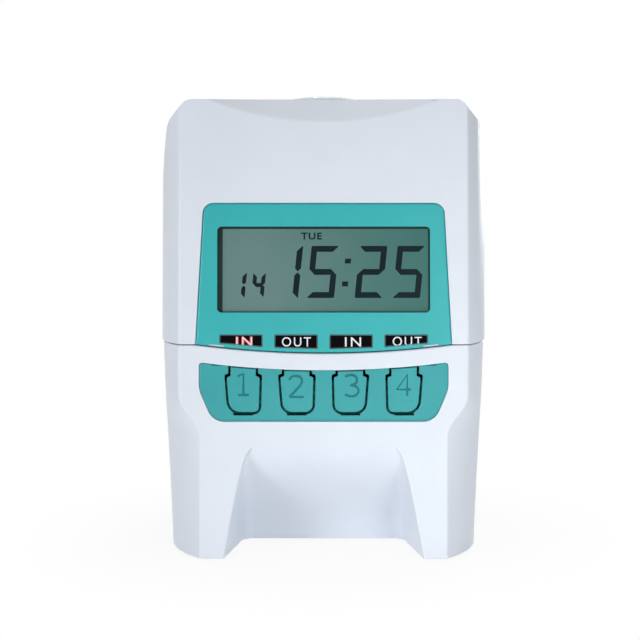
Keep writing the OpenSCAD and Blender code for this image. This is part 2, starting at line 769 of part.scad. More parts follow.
module upper_cover() color(white_abs) difference() {
    union() {
        difference() {
            intersection() {
                cover_form(0, shell_back);
                above_part(part_gap);
            }
            cover_form(wall, body_d);
        }
        lock_boss();
        for (x = [-1, 1], s = display_boss_s) face_peg(x * display_boss_x, s, wall / 2, board_d, boss_r);
        // Ribs under the flat top beside the card slot
        for (x = [-1, 1]) translate([x * rib_x, 0, 0])
            block([-rib_t / 2, card_y - rib_front, body_h - wall - rib_h],
                [rib_t / 2, shell_back - 3, body_h - wall / 2]);
    }
    face_slab(-2, pocket_d) polygon(bezel_outline(0));
    face_slab(-2, wall + 2) polygon(rounded_box(window_w + 1, window_h + 1, window_r, 0, window_s));
    for (i = [0:3]) face_peg((i - 1.5) * lamp_pitch, lamp_s, -2, wall + 2, diode_dia / 2 + 1);
    for (x = [-1, 1], s = display_boss_s) face_peg(x * display_boss_x, s, wall, board_d + 1, pilot_r);
    // Card slot with a funnel mouth
    x_slab(-slot_w / 2, slot_w / 2) polygon([[card_y - chute / 2 - wall, body_h + 0.1],
        [card_y - chute / 2, body_h - wall * 0.6], [card_y - chute / 2, body_h - wall - 1],
        [card_y + chute / 2, body_h - wall - 1], [card_y + chute / 2, body_h - wall * 0.6],
        [card_y + chute / 2 + wall, body_h + 0.1]]);
    translate([0, lock_y, body_h - 2 * wall]) cylinder(r = lock_dia / 2 + fit, h = 4 * wall);
    translate([0, lock_y, head_low]) cylinder(r = lock_head_dia / 2 + fit, h = 2 * wall);
}

module display_bezel() color(turquoise) difference() {
    intersection() {
        face_slab(bezel_sink, pocket_d) polygon(bezel_outline(fit));
        above_part(part_gap + fit);
    }
    face_slab(-2, wall) polygon(rounded_box(window_w, window_h, window_r, 0, window_s));
    for (i = [0:3]) face_slab(-2, wall) polygon(lamp_outline(i, 0));
    // Reliefs at both ends of the foot
    for (x = [-1, 1]) intersection() {
        face_slab(-2, wall) translate([x * relief_x - relief_w / 2, part_s]) square([relief_w, band_h]);
        below_part(part_gap + fit + relief_h);
    }
}

module lamp_plates() color(black_abs) for (i = [0:3])
    face_slab(bezel_sink + lamp_sink, pocket_d) polygon(lamp_outline(i, fit));

module lcd_glass() color(display_grey) face_slab(glass_d, backlight_d)
    polygon(rounded_box(glass_w, glass_h, 0.5, 0, window_s));

module lcd_backlight() color("whitesmoke") face_slab(backlight_d, backlight_d + backlight_t)
    polygon(rounded_box(glass_w, glass_h, 0.5, 0, window_s));

module lcd_frame() color(black_abs) difference() {
    face_slab(wall, board_d)
        polygon(rounded_box(glass_w + 2 * frame_wall, glass_h + 2 * frame_wall, 1, 0, window_s));
    face_slab(wall - 1, board_d + 1)
        polygon(rounded_box(glass_w + 2 * fit, glass_h + 2 * fit, 0.5, 0, window_s));
}

module display_board() color(board_green) difference() {
    face_slab(board_d, board_back_d)
        polygon(rounded_box(display_board_w, display_board_top - display_board_low, 1.5,
            0, (display_board_top + display_board_low) / 2));
    for (x = [-1, 1], s = display_boss_s)
        face_peg(x * display_boss_x, s, board_d - 1, board_back_d + 1, pilot_r + fit);
}

module display_screws() color(steel) for (x = [-1, 1], s = display_boss_s) {
    face_peg(x * display_boss_x, s, wall + 1, board_back_d + 0.1, pilot_r - 0.05);
    face_peg(x * display_boss_x, s, board_back_d, board_back_d + 1.6, pilot_r * 2.2);
}

module lamp_diodes() color("tomato") for (i = [0:3]) {
    face_peg((i - 1.5) * lamp_pitch, lamp_s, wall + diode_dia / 2, board_d, diode_dia / 2);
    on_face() translate([(i - 1.5) * lamp_pitch, wall + diode_dia / 2, lamp_s]) sphere(r = diode_dia / 2);
}

module lock_barrel() color(steel) translate([0, lock_y, 0]) difference() {
    union() {
        dome(lock_head_dia / 2, head_low);
        translate([0, 0, body_h - lock_len]) cylinder(r = lock_dia / 2, h = head_low - body_h + lock_len + 0.1);
    }
    translate([0, 0, body_h - lock_len - 1]) cylinder(r = plug_dia / 2 + run, h = lock_len + 5);
}

module lock_nut() color(steel) translate([0, lock_y, body_h - wall - nut_t]) difference() {
    cylinder(r = lock_dia / 2 + 3.6, h = nut_t, $fn = 6);
    translate([0, 0, -1]) cylinder(r = lock_dia / 2 + 0.05, h = nut_t + 2);
}

module lock_plug() color(brass) translate([0, lock_y, 0]) difference() {
    union() {
        translate([0, 0, cam_top]) cylinder(r = plug_dia / 2, h = plug_top - cam_top);
        // Square that carries the cam
        block([-cam_square, -cam_square, cam_top - cam_t], [cam_square, cam_square, cam_top + 0.1]);
    }
    // Keyway
    block([-keyway_w / 2, -plug_dia * 0.32, plug_top - 6], [keyway_w / 2, plug_dia * 0.32, plug_top + 1]);
    translate([0, 0, cam_top - cam_t - 1]) cylinder(r = pilot_r + 0.6, h = 8);
}

module lock_cam() color(steel) translate([0, lock_y, cam_top - cam_t]) difference() {
    linear_extrude(cam_t) union() {
        circle(r = cam_w / 2);
        translate([0, -cam_w / 2 + 1.5]) square([cam_len - 2, cam_w - 3]);
        translate([cam_len - cam_w / 2, 0]) circle(r = cam_w / 2 - 1.5);
    }
    block([-cam_hole, -cam_hole, -1], [cam_hole, cam_hole, cam_t + 1]);
}

module lock_screw() color(steel) translate([0, lock_y, 0]) {
    translate([0, 0, cam_top - cam_t - 2.2]) cylinder(r = cam_square * 1.45, h = 2.2);
    translate([0, 0, cam_top - cam_t - 1]) cylinder(r = pilot_r + 0.5, h = 7);
}

module base_housing() color(white_abs) difference() {
    union() {
        difference() {
            intersection() {
                base_form(0, foot_stand, shell_back);
                below_part(0);
            }
            difference() {
                base_form(wall, floor_z, body_d);
                arch(wall);
            }
            arch(0);
        }
        // Bosses for the rear panel, on webs from the side walls
        intersection() {
            base_form(wall / 2, foot_stand + wall / 2, shell_back);
            for (side = [0, 1], z = rear_screw_zs) mirror([side, 0, 0]) {
                y_bar(shell_back - boss_len, shell_back, rear_screw_x, z, boss_r + 0.6);
                block([rear_screw_x, shell_back - boss_len, z - web_t / 2],
                    [base_half(z), shell_back, z + web_t / 2]);
            }
        }
        // Guide lips inside the side walls for the cover
        for (side = [0, 1]) mirror([side, 0, 0])
            block([lip_x - lip_t, lip_t - bevel_reach + 6, part_side - 6],
                [lip_x, shell_back - 6, part_side + 3]);
    }
    face_slab(-3, wall + 2) polygon(key_panel_outline(0));
    for (x = [-1, 1], z = rear_screw_zs)
        y_bar(shell_back - boss_len + 2, shell_back + 1, x * rear_screw_x, z, pilot_r);
    for (x = [-1, 1], p = foot_places)
        translate([x * p[0], p[1], foot_stand - 1]) cylinder(r = foot_dia / 2 + fit, h = foot_seat + 1);
    for (x = [-1, 1], y = chassis_screw_ys)
        translate([x * chassis_screw_x, y, -1]) cylinder(r = pilot_r, h = 3 * wall);
}

module rear_panel() color(white_abs) difference() {
    union() {
        y_slab(back_y - panel_t, back_y - panel_edge) polygon(rear_outline(0));
        loft([for (inset = [panel_edge, 0])
            [for (p = rear_outline(inset)) [p[0], back_y - panel_edge + inset, p[1]]]]);
        // Spacers for the main board
        for (x = [-1, 1], z = [main_board_z + 4, main_board_z + main_board_h - 4])
            y_bar(main_board_y + board_t, back_y - panel_t / 2, x * (main_board_w / 2 - 4), z, boss_r);
    }
    // Wall keyholes: a round mouth with a slot above it
    for (x = [-0.5, 0.5]) translate([x * keyhole_pitch, 0, 0]) {
        y_bar(shell_back - 1, back_y + 1, 0, keyhole_z, keyhole_dia / 2);
        y_bar(shell_back - 1, back_y + 1, 0, keyhole_z + keyhole_dia, keyhole_slot_w / 2);
        block([-keyhole_slot_w / 2, shell_back - 1, keyhole_z],
            [keyhole_slot_w / 2, back_y + 1, keyhole_z + keyhole_dia]);
    }
    // Vent slots
    for (i = [0:vent_count - 1]) y_slab(shell_back - 1, back_y + 1)
        polygon(rounded_box(vent_w, vent_h, vent_h / 2 - 0.1, 0, vent_z + i * vent_pitch));
    y_slab(shell_back - 1, back_y + 1)
        polygon(rounded_box(inlet_w + 2 * fit, inlet_h + 2 * fit, inlet_r, inlet_x, inlet_z));
    // Countersunk screw holes
    for (x = [-1, 1], z = rear_screw_zs) {
        y_bar(shell_back - 1, back_y + 1, x * rear_screw_x, z, pilot_r + fit);
        y_bar(back_y - 1.2, back_y + 1, x * rear_screw_x, z, pilot_r * 2.8);
    }
}

module rear_screws() color(steel) for (x = [-1, 1], z = rear_screw_zs) {
    y_bar(shell_back - 10, back_y - 1.1, x * rear_screw_x, z, pilot_r - 0.05);
    y_bar(back_y - 1.2, back_y - 0.1, x * rear_screw_x, z, pilot_r * 2.5);
}

module rubber_feet() color(rubber_black) for (x = [-1, 1], p = foot_places)
    translate([x * p[0], p[1], 0]) cylinder(r = foot_dia / 2, h = foot_stand + foot_seat);

module key_panel() color(turquoise) difference() {
    union() {
        face_slab(key_panel_sink, wall + 0.1) polygon(key_panel_outline(fit));
        // Flange behind the front wall
        face_slab(wall, wall + flange_t) polygon(rounded([
            [-flange_low, key_panel_low - flange_rim],
            [flange_low, key_panel_low - flange_rim],
            [key_panel_w / 2 + flange_rim, hinge_bar_top],
            [-key_panel_w / 2 - flange_rim, hinge_bar_top]], [8, 8, 1, 1]));
        // Bar behind the white band that carries the key knuckles
        face_slab(wall, wall + hinge_bar_t) polygon(rounded_box(3 * key_pitch + key_w + 4,
            hinge_bar_top - knuckle_s + 0.3, 0.4, 0, (hinge_bar_top + knuckle_s - 0.3) / 2));
        // Posts that carry the switch board
        for (x = switch_post_xs) face_peg(x, switch_post_s, wall, switch_board_d, post_r);
    }
    for (i = [0:3]) {
        face_slab(-3, wall + flange_t + 1) polygon(key_outline(i, 0, knuckle_s));
        // Finger notch below the key
        face_slab(-3, wall + flange_t + 1) translate([key_xs[i] - key_notch_w / 2, key_low - key_notch_h])
            square([key_notch_w, key_notch_h + key_gap]);
        on_face() x_bar(key_xs[i] - key_neck_w / 2, key_xs[i] + key_neck_w / 2, knuckle_d, knuckle_s,
            knuckle_r + knuckle_seat);
        face_slab(wall, wall + hinge_bar_t + 1)
            translate([key_xs[i] - key_neck_w / 2, knuckle_s - 8]) square([key_neck_w, 8]);
    }
    for (x = switch_post_xs) face_peg(x, switch_post_s, switch_board_d - 6, switch_board_d + 1, pilot_r);
}

// Tongue key hanging from its knuckle, with the post that works its switch
module key(i) color(turquoise) union() {
    left = key_xs[i] - key_neck_w / 2 + key_gap;
    lever_w = key_neck_w - 2 * key_gap;
    back = key_sink + key_t - 0.2;
    intersection() {
        face_slab(key_sink, key_sink + key_t) polygon(key_outline(i, key_gap, key_panel_top + 5));
        face_slab(key_sink - 1, key_sink + key_t + 1) polygon(key_panel_outline(key_gap / 2));
    }
    // Lever that steps behind the white band up to the knuckle
    face_slab(back, wall + flange_t) translate([left, key_shoulder - 6]) square([lever_w, 5.5]);
    face_slab(wall + air, wall + flange_t)
        translate([left, key_shoulder - 3]) square([lever_w, knuckle_s - key_shoulder + 3]);
    on_face() x_bar(left, left + lever_w, knuckle_d, knuckle_s, knuckle_r);
    face_peg(key_xs[i], post_s, back, post_d, post_r);
}

module key_1() key(0);

module key_2() key(1);

module key_3() key(2);

module key_4() key(3);

module switch_board() color(board_green) difference() {
    face_slab(switch_board_d, switch_board_d + board_t)
        polygon(rounded_box(switch_board_w, key_panel_h - 2, 1, 0, switch_post_s + key_panel_h / 2 - 5));
    for (x = switch_post_xs)
        face_peg(x, switch_post_s, switch_board_d - 1, switch_board_d + board_t + 1, pilot_r + fit);
}

module key_switches() color(black_abs) for (x = key_xs) {
    face_slab(switch_body_d, switch_board_d) polygon(rounded_box(6, 6, 0.4, x, post_s));
    face_peg(x, post_s, post_d + switch_reach, switch_body_d + 0.1, 1.7);
}

module switch_screws() color(steel) for (x = switch_post_xs) {
    face_peg(x, switch_post_s, switch_board_d - 5, switch_board_d + board_t + 0.1, pilot_r - 0.05);
    face_peg(x, switch_post_s, switch_board_d + board_t, switch_board_d + board_t + 1.4, pilot_r * 2);
}

// Bent side plate of the mechanism, with a foot flange that is screwed to the floor of the base
module side_plate() color(steel) difference() {
    union() {
        x_slab(plate_x, plate_out) polygon(rounded([[plate_toe, plate_low], [plate_back, plate_low],
            [plate_back, plate_top - plate_cut], [plate_back - plate_cut, plate_top],
            [plate_head, plate_top], [plate_head, cassette_top + 3], [plate_front, cassette_top - 5],
            [plate_front, shelf_z - plate_chin], [plate_toe, shelf_z - plate_throat]],
            [1, 3, 6, 6, 3, 3, 4, 4, 6]));
        block([plate_x, plate_toe, plate_low], [flange_out, plate_back - 2, plate_low + sheet]);
        // Ledge for the ribbon cassette
        block([plate_x - 4, cassette_front + 3, cassette_z - sheet],
            [plate_out, cassette_front + 10, cassette_z]);
    }
    x_bar(plate_x - 1, plate_out + 1, rod_y, rod_z, rod_dia / 2 + 0.05);
    x_bar(plate_x - 1, plate_out + 1, rail_y, rail_z, rail_dia / 2 + 0.05);
    x_bar(plate_x - 1, plate_out + 1, feed_y, feed_z, bush_r);
    x_bar(plate_x - 1, plate_out + 1, pinch_y, feed_z, pinch_shaft_dia / 2 + run);
    x_bar(plate_x - 1, plate_out + 1, pinion_y, feed_z, motor_spigot + 0.4);
    // Lightening holes
    for (z = plate_hole_zs) x_bar(plate_x - 1, plate_out + 1, plate_hole_y, z, plate_hole_r);
    for (y = chassis_screw_ys)
        translate([chassis_screw_x, y, plate_low - 1]) cylinder(r = pilot_r + fit, h = sheet + 2);
}

module side_plate_left() mirror([1, 0, 0]) side_plate();

module side_plate_right() side_plate();

module chassis_screws() color(steel) for (x = [-1, 1], y = chassis_screw_ys)
    translate([x * chassis_screw_x, y, plate_low]) {
        translate([0, 0, 0.4 - wall]) cylinder(r = pilot_r - 0.05, h = wall + sheet);
        translate([0, 0, sheet]) cylinder(r = pilot_r * 2.2, h = 1.6);
    }

module mechanism_shelf() color(steel) difference() {
    union() {
        block([-plate_x, plate_front + 2, shelf_z], [plate_x, front_guide_y, shelf_z + sheet]);
        // Post of the idler pulley
        translate([idler_x, belt_y, shelf_z + sheet / 2])
            cylinder(r = idler_post_r, h = sheet + belt_w + 2.5);
    }
    translate([drive_x, belt_y, shelf_z - 1]) cylinder(r = 3, h = sheet + 2);
}

module cross_plate() color(steel) difference() {
    block([-plate_x, cross_y, shelf_z - cross_low], [plate_x, cross_y + sheet, print_z + cross_high]);
    for (x = [-1:1]) y_slab(cross_y - 1, cross_y + sheet + 1)
        polygon(rounded_box(cross_window, cross_window, 4, x * cross_pitch, shelf_z));
}

module front_card_guide() color(steel) difference() {
    union() {
        block([-plate_x, front_guide_y, stop_z], [plate_x, front_guide_y + guide_t, cassette_z]);
        block([-guide_half, front_guide_y, cassette_z - 1],
            [guide_half, front_guide_y + guide_t, guide_top - mouth_h]);
        // Mouth bent open towards the slot
        x_slab(-guide_half, guide_half) polygon([[front_guide_y, guide_top - mouth_h - 0.2],
            [front_guide_y + guide_t, guide_top - mouth_h - 0.2],
            [front_guide_y + guide_t - mouth_flare, guide_top], [front_guide_y - mouth_flare, guide_top]]);
        // Bottom stop
        block([-slot_w / 2, front_guide_y, stop_z - guide_t], [slot_w / 2, rear_guide_y, stop_z]);
    }
    // Print window
    y_slab(front_guide_y - 1, front_guide_y + guide_t + 1)
        polygon(rounded_box(slot_w + 2, ribbon_h + 6, 2, 0, print_z));
    for (x = [-1, 1]) y_slab(front_guide_y - 1, front_guide_y + guide_t + 1)
        polygon(rounded_box(roller_w + 2, 2 * pinch_r + 2, 1, x * roller_x, feed_z));
}

module rear_card_guide() color(steel) difference() {
    union() {
        block([-plate_x, rear_guide_y, stop_z - guide_t], [plate_x, rear_guide_y + guide_t, cassette_z]);
        block([-guide_half, rear_guide_y, cassette_z - 1],
            [guide_half, rear_guide_y + guide_t, guide_top - mouth_h]);
        x_slab(-guide_half, guide_half) polygon([[rear_guide_y, guide_top - mouth_h - 0.2],
            [rear_guide_y + guide_t, guide_top - mouth_h - 0.2],
            [rear_guide_y + guide_t + mouth_flare, guide_top], [rear_guide_y + mouth_flare, guide_top]]);
    }
    y_slab(rear_guide_y - 1, rear_guide_y + guide_t + 1)
        polygon(rounded_box(slot_w + 2, ribbon_h + 6, 2, 0, print_z));
    for (x = [-1, 1]) y_slab(rear_guide_y - 1, rear_guide_y + guide_t + 1)
        polygon(rounded_box(roller_w + 2, 2 * feed_r + 2, 1, x * roller_x, feed_z));
}

module platen() color(rubber_black) union() {
    block([-plate_x, rear_guide_y + guide_t, print_z - 6],
        [plate_x, rear_guide_y + guide_t + 7, print_z + 6]);
    block([-slot_w / 2, card_y + card_t, print_z - ribbon_h / 2],
        [slot_w / 2, rear_guide_y + guide_t + 1, print_z + ribbon_h / 2]);
}

module carriage_rod() color(steel) x_bar(-plate_out, plate_out, rod_y, rod_z, rod_dia / 2);

module carriage_rail() color(steel) x_bar(-plate_out, plate_out, rail_y, rail_z, rail_dia / 2);

module print_carriage() color(black_abs) translate([carriage_x, 0, 0]) difference() {
    union() {
        block([-carriage_w / 2, rod_y - 5, carriage_low],
            [carriage_w / 2, carriage_back, print_z - head_h / 2]);
        // Shoe that rides on the rail
        block([-carriage_w / 2 + 4, carriage_front - 1.6, rail_z - rail_dia / 2 - 1.6],
            [carriage_w / 2 - 4, rod_y, print_z - head_h / 2]);
        // Clamp around the front run of the belt
        block([clamp_x, belt_y - pulley_r - belt_t - 2, belt_z - 0.8],
            [clamp_x + clamp_w, belt_y - pulley_r + 1.6, carriage_low + 1]);
    }
    x_bar(-carriage_w, carriage_w, rod_y, rod_z, rod_dia / 2 + run);
    x_bar(-carriage_w, carriage_w, rail_y, rail_z, rail_slot);
    block([-carriage_w, rail_y - rail_dia, rail_z - rail_slot], [carriage_w, rail_y, rail_z + rail_slot]);
    block([-carriage_w, belt_y - pulley_r - belt_t - air, belt_z - air],
        [carriage_w, belt_y - pulley_r + air, belt_z + belt_w + air]);
}

module print_head() color(black_abs) translate([carriage_x, 0, 0]) difference() {
    union() {
        block([-head_w / 2, head_front, print_z - head_h / 2],
            [head_w / 2, ribbon_y - nose_len, print_z + head_h / 2]);
        // Nose that faces the ribbon
        x_slab(-head_w / 4, head_w / 4) polygon([[ribbon_y - nose_len - 0.1, print_z - 5.5],
            [ribbon_y - air, print_z - 3], [ribbon_y - air, print_z + 3],
            [ribbon_y - nose_len - 0.1, print_z + 5.5]]);
    }
    // Cooling slots
    for (y = [head_front + 2:fin_pitch:ribbon_y - nose_len - 2])
        block([-head_w, y, print_z + 1], [head_w, y + fin_pitch / 2, print_z + head_h]);
}

module ribbon_cassette() color(black_abs) difference() {
    union() {
        translate([0, 0, cassette_z]) linear_extrude(cassette_h)
            polygon(rounded_box(2 * plate_x - 1, cassette_d - 2, 3, 0, cassette_front + cassette_d / 2 - 1));
        // Arms that stretch the ribbon across the print line
        for (side = [0, 1]) mirror([side, 0, 0])
            block([plate_x - arm_w - 1, ribbon_y - 6, print_z - ribbon_h / 2 - 2],
                [plate_x - 1, ribbon_y + ribbon_t + 0.6, cassette_z + 2]);
    }
    translate([knob_x, knob_y, cassette_z + 3]) cylinder(r = spindle_r + run, h = cassette_h);
    block([-plate_x, ribbon_y, print_z - ribbon_h / 2],
        [plate_x, ribbon_y + ribbon_t, print_z + ribbon_h / 2]);
}

module ribbon_band() color("black") block([2 - plate_x, ribbon_y, print_z - ribbon_h / 2],
    [plate_x - 2, ribbon_y + ribbon_t, print_z + ribbon_h / 2]);

module ribbon_knob() color("dimgray") translate([knob_x, knob_y, 0]) difference() {
    union() {
        translate([0, 0, cassette_z + 3 + air]) cylinder(r = spindle_r, h = cassette_h);
        translate([0, 0, cassette_top + air]) cylinder(r = knob_dia / 2, h = 4);
        block([-knob_dia / 2 + 1, -1.2, cassette_top + 4], [knob_dia / 2 - 1, 1.2, cassette_top + 7]);
    }
    // Finger flutes
    for (a = [0:30:330]) rotate([0, 0, a])
        translate([knob_dia / 2 + 0.8, 0, cassette_top]) cylinder(r = 1.6, h = 5, $fn = 16);
}

module carriage_motor() color(steel) translate([drive_x, belt_y, 0]) union() {
    translate([0, 0, shelf_z - carriage_motor_len])
        cylinder(r = carriage_motor_dia / 2, h = carriage_motor_len);
    translate([0, 0, shelf_z - 0.1]) cylinder(r = 1, h = sheet + belt_w + 3);
}

// Flanged belt pulley on a bore of radius bore_r
module pulley(x, bore_r) color(gear_cream) translate([x, belt_y, 0]) difference() {
    union() {
        translate([0, 0, belt_z]) cylinder(r = pulley_r, h = belt_w);
        translate([0, 0, belt_z + belt_w]) cylinder(r = pulley_r + pulley_rim, h = pulley_flange);
        translate([0, 0, belt_z - 0.8]) cylinder(r = pulley_r + pulley_rim, h = 0.8);
    }
    translate([0, 0, belt_z - 2]) cylinder(r = bore_r, h = belt_w + 5);
}

module drive_pulley() pulley(drive_x, 1 + run);

module idler_pulley() pulley(idler_x, idler_post_r + run);

// Loop around both pulleys at radius r
module belt_loop(r) {
    translate([drive_x, belt_y - r]) square([idler_x - drive_x, 2 * r]);
    for (x = [drive_x, idler_x]) translate([x, belt_y]) circle(r = r);
}

module drive_belt() color(rubber_black)
    translate([0, 0, belt_z + 0.1]) linear_extrude(belt_w - 0.2) difference() {
        belt_loop(pulley_r + belt_t);
        belt_loop(pulley_r + run);
    }

module feed_shaft() color(steel)
    x_bar(-plate_out - 2, gear_x + gear_face + 1, feed_y, feed_z, feed_shaft_dia / 2);

module feed_rollers() color(rubber_black) for (x = [-1, 1]) difference() {
    x_bar(x * roller_x - roller_w / 2, x * roller_x + roller_w / 2, feed_y, feed_z, feed_r);
    x_bar(x * roller_x - roller_w, x * roller_x + roller_w, feed_y, feed_z, feed_shaft_dia / 2);
}

module feed_gear() color(gear_cream) difference() {
    translate([0, feed_y, feed_z]) union() {
        x_slab(gear_x, gear_x + gear_face) polygon(gear_outline(gear_teeth));
        x_bar(gear_x - 1, gear_x, 0, 0, feed_shaft_dia / 2 + 2.5);
    }
    x_bar(gear_x - 2, gear_x + gear_face + 1, feed_y, feed_z, feed_shaft_dia / 2);
    // Lightening holes
    for (a = [0:60:300]) translate([0, feed_y + spoke_r * cos(a), feed_z + spoke_r * sin(a)])
        x_bar(gear_x - 1, gear_x + gear_face + 1, 0, 0, 2.4);
}

module shaft_bushes() color(brass) for (side = [0, 1]) mirror([side, 0, 0]) difference() {
    union() {
        x_bar(plate_x, plate_out, feed_y, feed_z, bush_r);
        x_bar(plate_x - bush_flange, plate_x, feed_y, feed_z, bush_r + 1.5);
    }
    x_bar(plate_x - 2 * bush_flange, plate_out + 1, feed_y, feed_z, feed_shaft_dia / 2 + run);
}

module pinch_shaft() color(steel) x_bar(-plate_out - 1, plate_out + 1, pinch_y, feed_z, pinch_shaft_dia / 2);

module pinch_rollers() color(rubber_black) for (x = [-1, 1]) difference() {
    x_bar(x * roller_x - roller_w / 2, x * roller_x + roller_w / 2, pinch_y, feed_z, pinch_r);
    x_bar(x * roller_x - roller_w, x * roller_x + roller_w, pinch_y, feed_z, pinch_shaft_dia / 2);
}

module feed_motor() color(steel) union() {
    x_bar(plate_x - feed_motor_len, plate_x, pinion_y, feed_z, feed_motor_dia / 2);
    x_bar(plate_x - 0.1, plate_out + 1, pinion_y, feed_z, motor_spigot);
    x_bar(plate_x, gear_x + gear_face, pinion_y, feed_z, 1);
}

module motor_pinion() color(gear_cream) translate([0, pinion_y, feed_z]) difference() {
    x_slab(gear_x, gear_x + gear_face) rotate([0, 0, 180 / pinion_teeth]) polygon(gear_outline(pinion_teeth));
    x_bar(gear_x - 1, gear_x + gear_face + 1, 0, 0, 1 + run);
}

module main_board() color(board_green) y_slab(main_board_y, main_board_y + board_t)
    polygon(rounded_box(main_board_w, main_board_h, 1.5, 0, main_board_z + main_board_h / 2));

// Places children on the front of the main board, at x across it and a height above its lower edge
module on_board(x, height) translate([x, main_board_y, main_board_z + height]) children();

// Block of a given width, depth and height that stands on the board
module board_block(size) block([-size[0] / 2, -size[1], -size[2] / 2], [size[0] / 2, 0, size[2] / 2]);

module board_parts() color(black_abs) {
    // Processor, driver chips and connectors
    on_board(0, chip_row) board_block(processor);
    for (x = driver_xs) on_board(x, chip_row) board_block(driver);
    for (x = plug_xs) on_board(x, plug_row) board_block(plug);
    // Filter capacitors and a choke
    for (x = can_xs) on_board(x, can_row) y_bar(-can_h, 0, 0, 0, can_r);
    on_board(choke_x, choke_row) y_bar(-choke_h, 0, 0, 0, choke_r);
}

module power_transformer() color(dark_iron) translate([transformer_x, transformer_y, floor_z]) union() {
    // Laminated core with mounting feet
    block([-core_w / 2, -core_d / 2, 0], [core_w / 2, core_d / 2, core_h]);
    block([-core_w / 2 - 7, -core_d / 2, 0], [core_w / 2 + 7, core_d / 2, sheet]);
    // Winding that bulges out of both faces
    block([-core_w / 4, -core_d / 2 - 6, core_h * 0.2], [core_w / 4, core_d / 2 + 6, core_h * 0.8]);
}

module mains_inlet() color(black_abs) difference() {
    union() {
        y_slab(back_y - panel_t - 1, back_y)
            polygon(rounded_box(inlet_w, inlet_h, inlet_r, inlet_x, inlet_z));
        y_slab(shell_back - inlet_len, back_y - panel_t) polygon(rounded_box(
            inlet_w + 2 * inlet_rim, inlet_h + 2 * inlet_rim, inlet_r, inlet_x, inlet_z));
    }
    y_slab(inlet_floor, back_y + 1) polygon(rounded_box(
        inlet_w - 2 * inlet_wall, inlet_h - 2 * inlet_wall, inlet_r - 0.4, inlet_x, inlet_z));
    for (x = [-0.5, 0.5])
        y_bar(inlet_floor - pin_root, inlet_floor + 1, inlet_x + x * pin_gap, inlet_z, pin_r);
}

module inlet_pins() color(brass) for (x = [-0.5, 0.5])
    y_bar(inlet_floor - pin_root, back_y - panel_t, inlet_x + x * pin_gap, inlet_z, pin_r);

module backup_battery() color("gold") for (i = [0:2])
    translate([battery_x, battery_y + i * cell_dia, floor_z + cell_dia / 2])
        x_bar(-cell_len / 2, cell_len / 2, 0, 0, cell_dia / 2);

module lock_catch() color(steel) union() {
    block([-catch_w / 2, catch_front, cam_top + air], [catch_w / 2, back_y - panel_t, cam_top + air + sheet]);
    block([-catch_w / 2, back_y - panel_t - sheet, cam_top - 16],
        [catch_w / 2, back_y - panel_t, cam_top + air + sheet]);
}

upper_cover();
display_bezel();
lcd_glass();
lcd_backlight();
lcd_frame();
display_board();
display_screws();
lamp_plates();
lamp_diodes();
lock_barrel();
lock_nut();
lock_plug();
lock_cam();
lock_screw();
base_housing();
rear_panel();
rear_screws();
rubber_feet();
key_panel();
key_1();
key_2();
key_3();
key_4();
switch_board();
key_switches();
switch_screws();
side_plate_left();
side_plate_right();
mechanism_shelf();
cross_plate();
chassis_screws();
front_card_guide();
rear_card_guide();
platen();
carriage_rod();
carriage_rail();
print_carriage();
print_head();
ribbon_cassette();
ribbon_band();
ribbon_knob();
carriage_motor();
drive_pulley();
idler_pulley();
drive_belt();
feed_shaft();
feed_rollers();
feed_gear();
shaft_bushes();
pinch_shaft();
pinch_rollers();
feed_motor();
motor_pinion();
main_board();
board_parts();
power_transformer();
mains_inlet();
inlet_pins();
backup_battery();
lock_catch();
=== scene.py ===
"""Dressed model of a card time clock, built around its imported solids.

Metres, in the frame of the solids: the front looks to -Y and +Z is up.
"""

import json
import logging
import math
from contextlib import contextmanager
from dataclasses import dataclass
from enum import Enum
from typing import Callable, ClassVar, Iterator, Sequence

import bmesh
import bpy
from mathutils import Matrix, Vector


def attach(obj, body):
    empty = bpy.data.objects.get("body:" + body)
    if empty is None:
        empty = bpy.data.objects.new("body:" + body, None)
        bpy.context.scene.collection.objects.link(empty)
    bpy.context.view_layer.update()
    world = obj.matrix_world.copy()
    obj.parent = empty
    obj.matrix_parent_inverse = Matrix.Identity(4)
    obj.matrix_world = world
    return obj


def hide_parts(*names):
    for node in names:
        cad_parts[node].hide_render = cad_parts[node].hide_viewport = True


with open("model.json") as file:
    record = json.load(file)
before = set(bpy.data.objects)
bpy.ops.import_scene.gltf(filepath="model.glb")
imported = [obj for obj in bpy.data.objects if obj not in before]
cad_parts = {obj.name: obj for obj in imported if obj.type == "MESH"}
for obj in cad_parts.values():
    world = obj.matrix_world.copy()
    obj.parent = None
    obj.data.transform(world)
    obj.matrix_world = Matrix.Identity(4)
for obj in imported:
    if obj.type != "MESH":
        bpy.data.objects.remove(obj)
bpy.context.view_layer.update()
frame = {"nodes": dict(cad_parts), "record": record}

LOG = logging.getLogger("time_clock")
MM = 0.001
FIELD_LOW, FIELD_HIGH = 0.3, 0.7
RANGE = ("From Min", "From Max", "To Min", "To Max")
Pair = tuple[float, float]
Place = tuple[float, float, float]
Colour = tuple[float, float, float]
Piece = bpy.types.Object
Socket = bpy.types.NodeSocket
Edge = bmesh.types.BMEdge
Test = Callable[[Vector], bool]


class Slot(Enum):
    """Material slots of the record."""

    CASE = "case_white"
    TURQUOISE = "turquoise"
    BLACK = "black_plastic"
    GLASS = "display_glass"
    BACKLIGHT = "backlight"
    BOARD = "board"
    STEEL = "steel"
    CHROME = "chrome"
    BRASS = "brass"
    RUBBER = "rubber"
    GEAR = "gear_plastic"
    TRANSFORMER = "transformer"
    RIBBON = "ribbon"
    BATTERY = "battery"
    DIODE = "diode"


class Body(Enum):
    """Moving bodies that carry new pieces."""

    COVER = "cover"


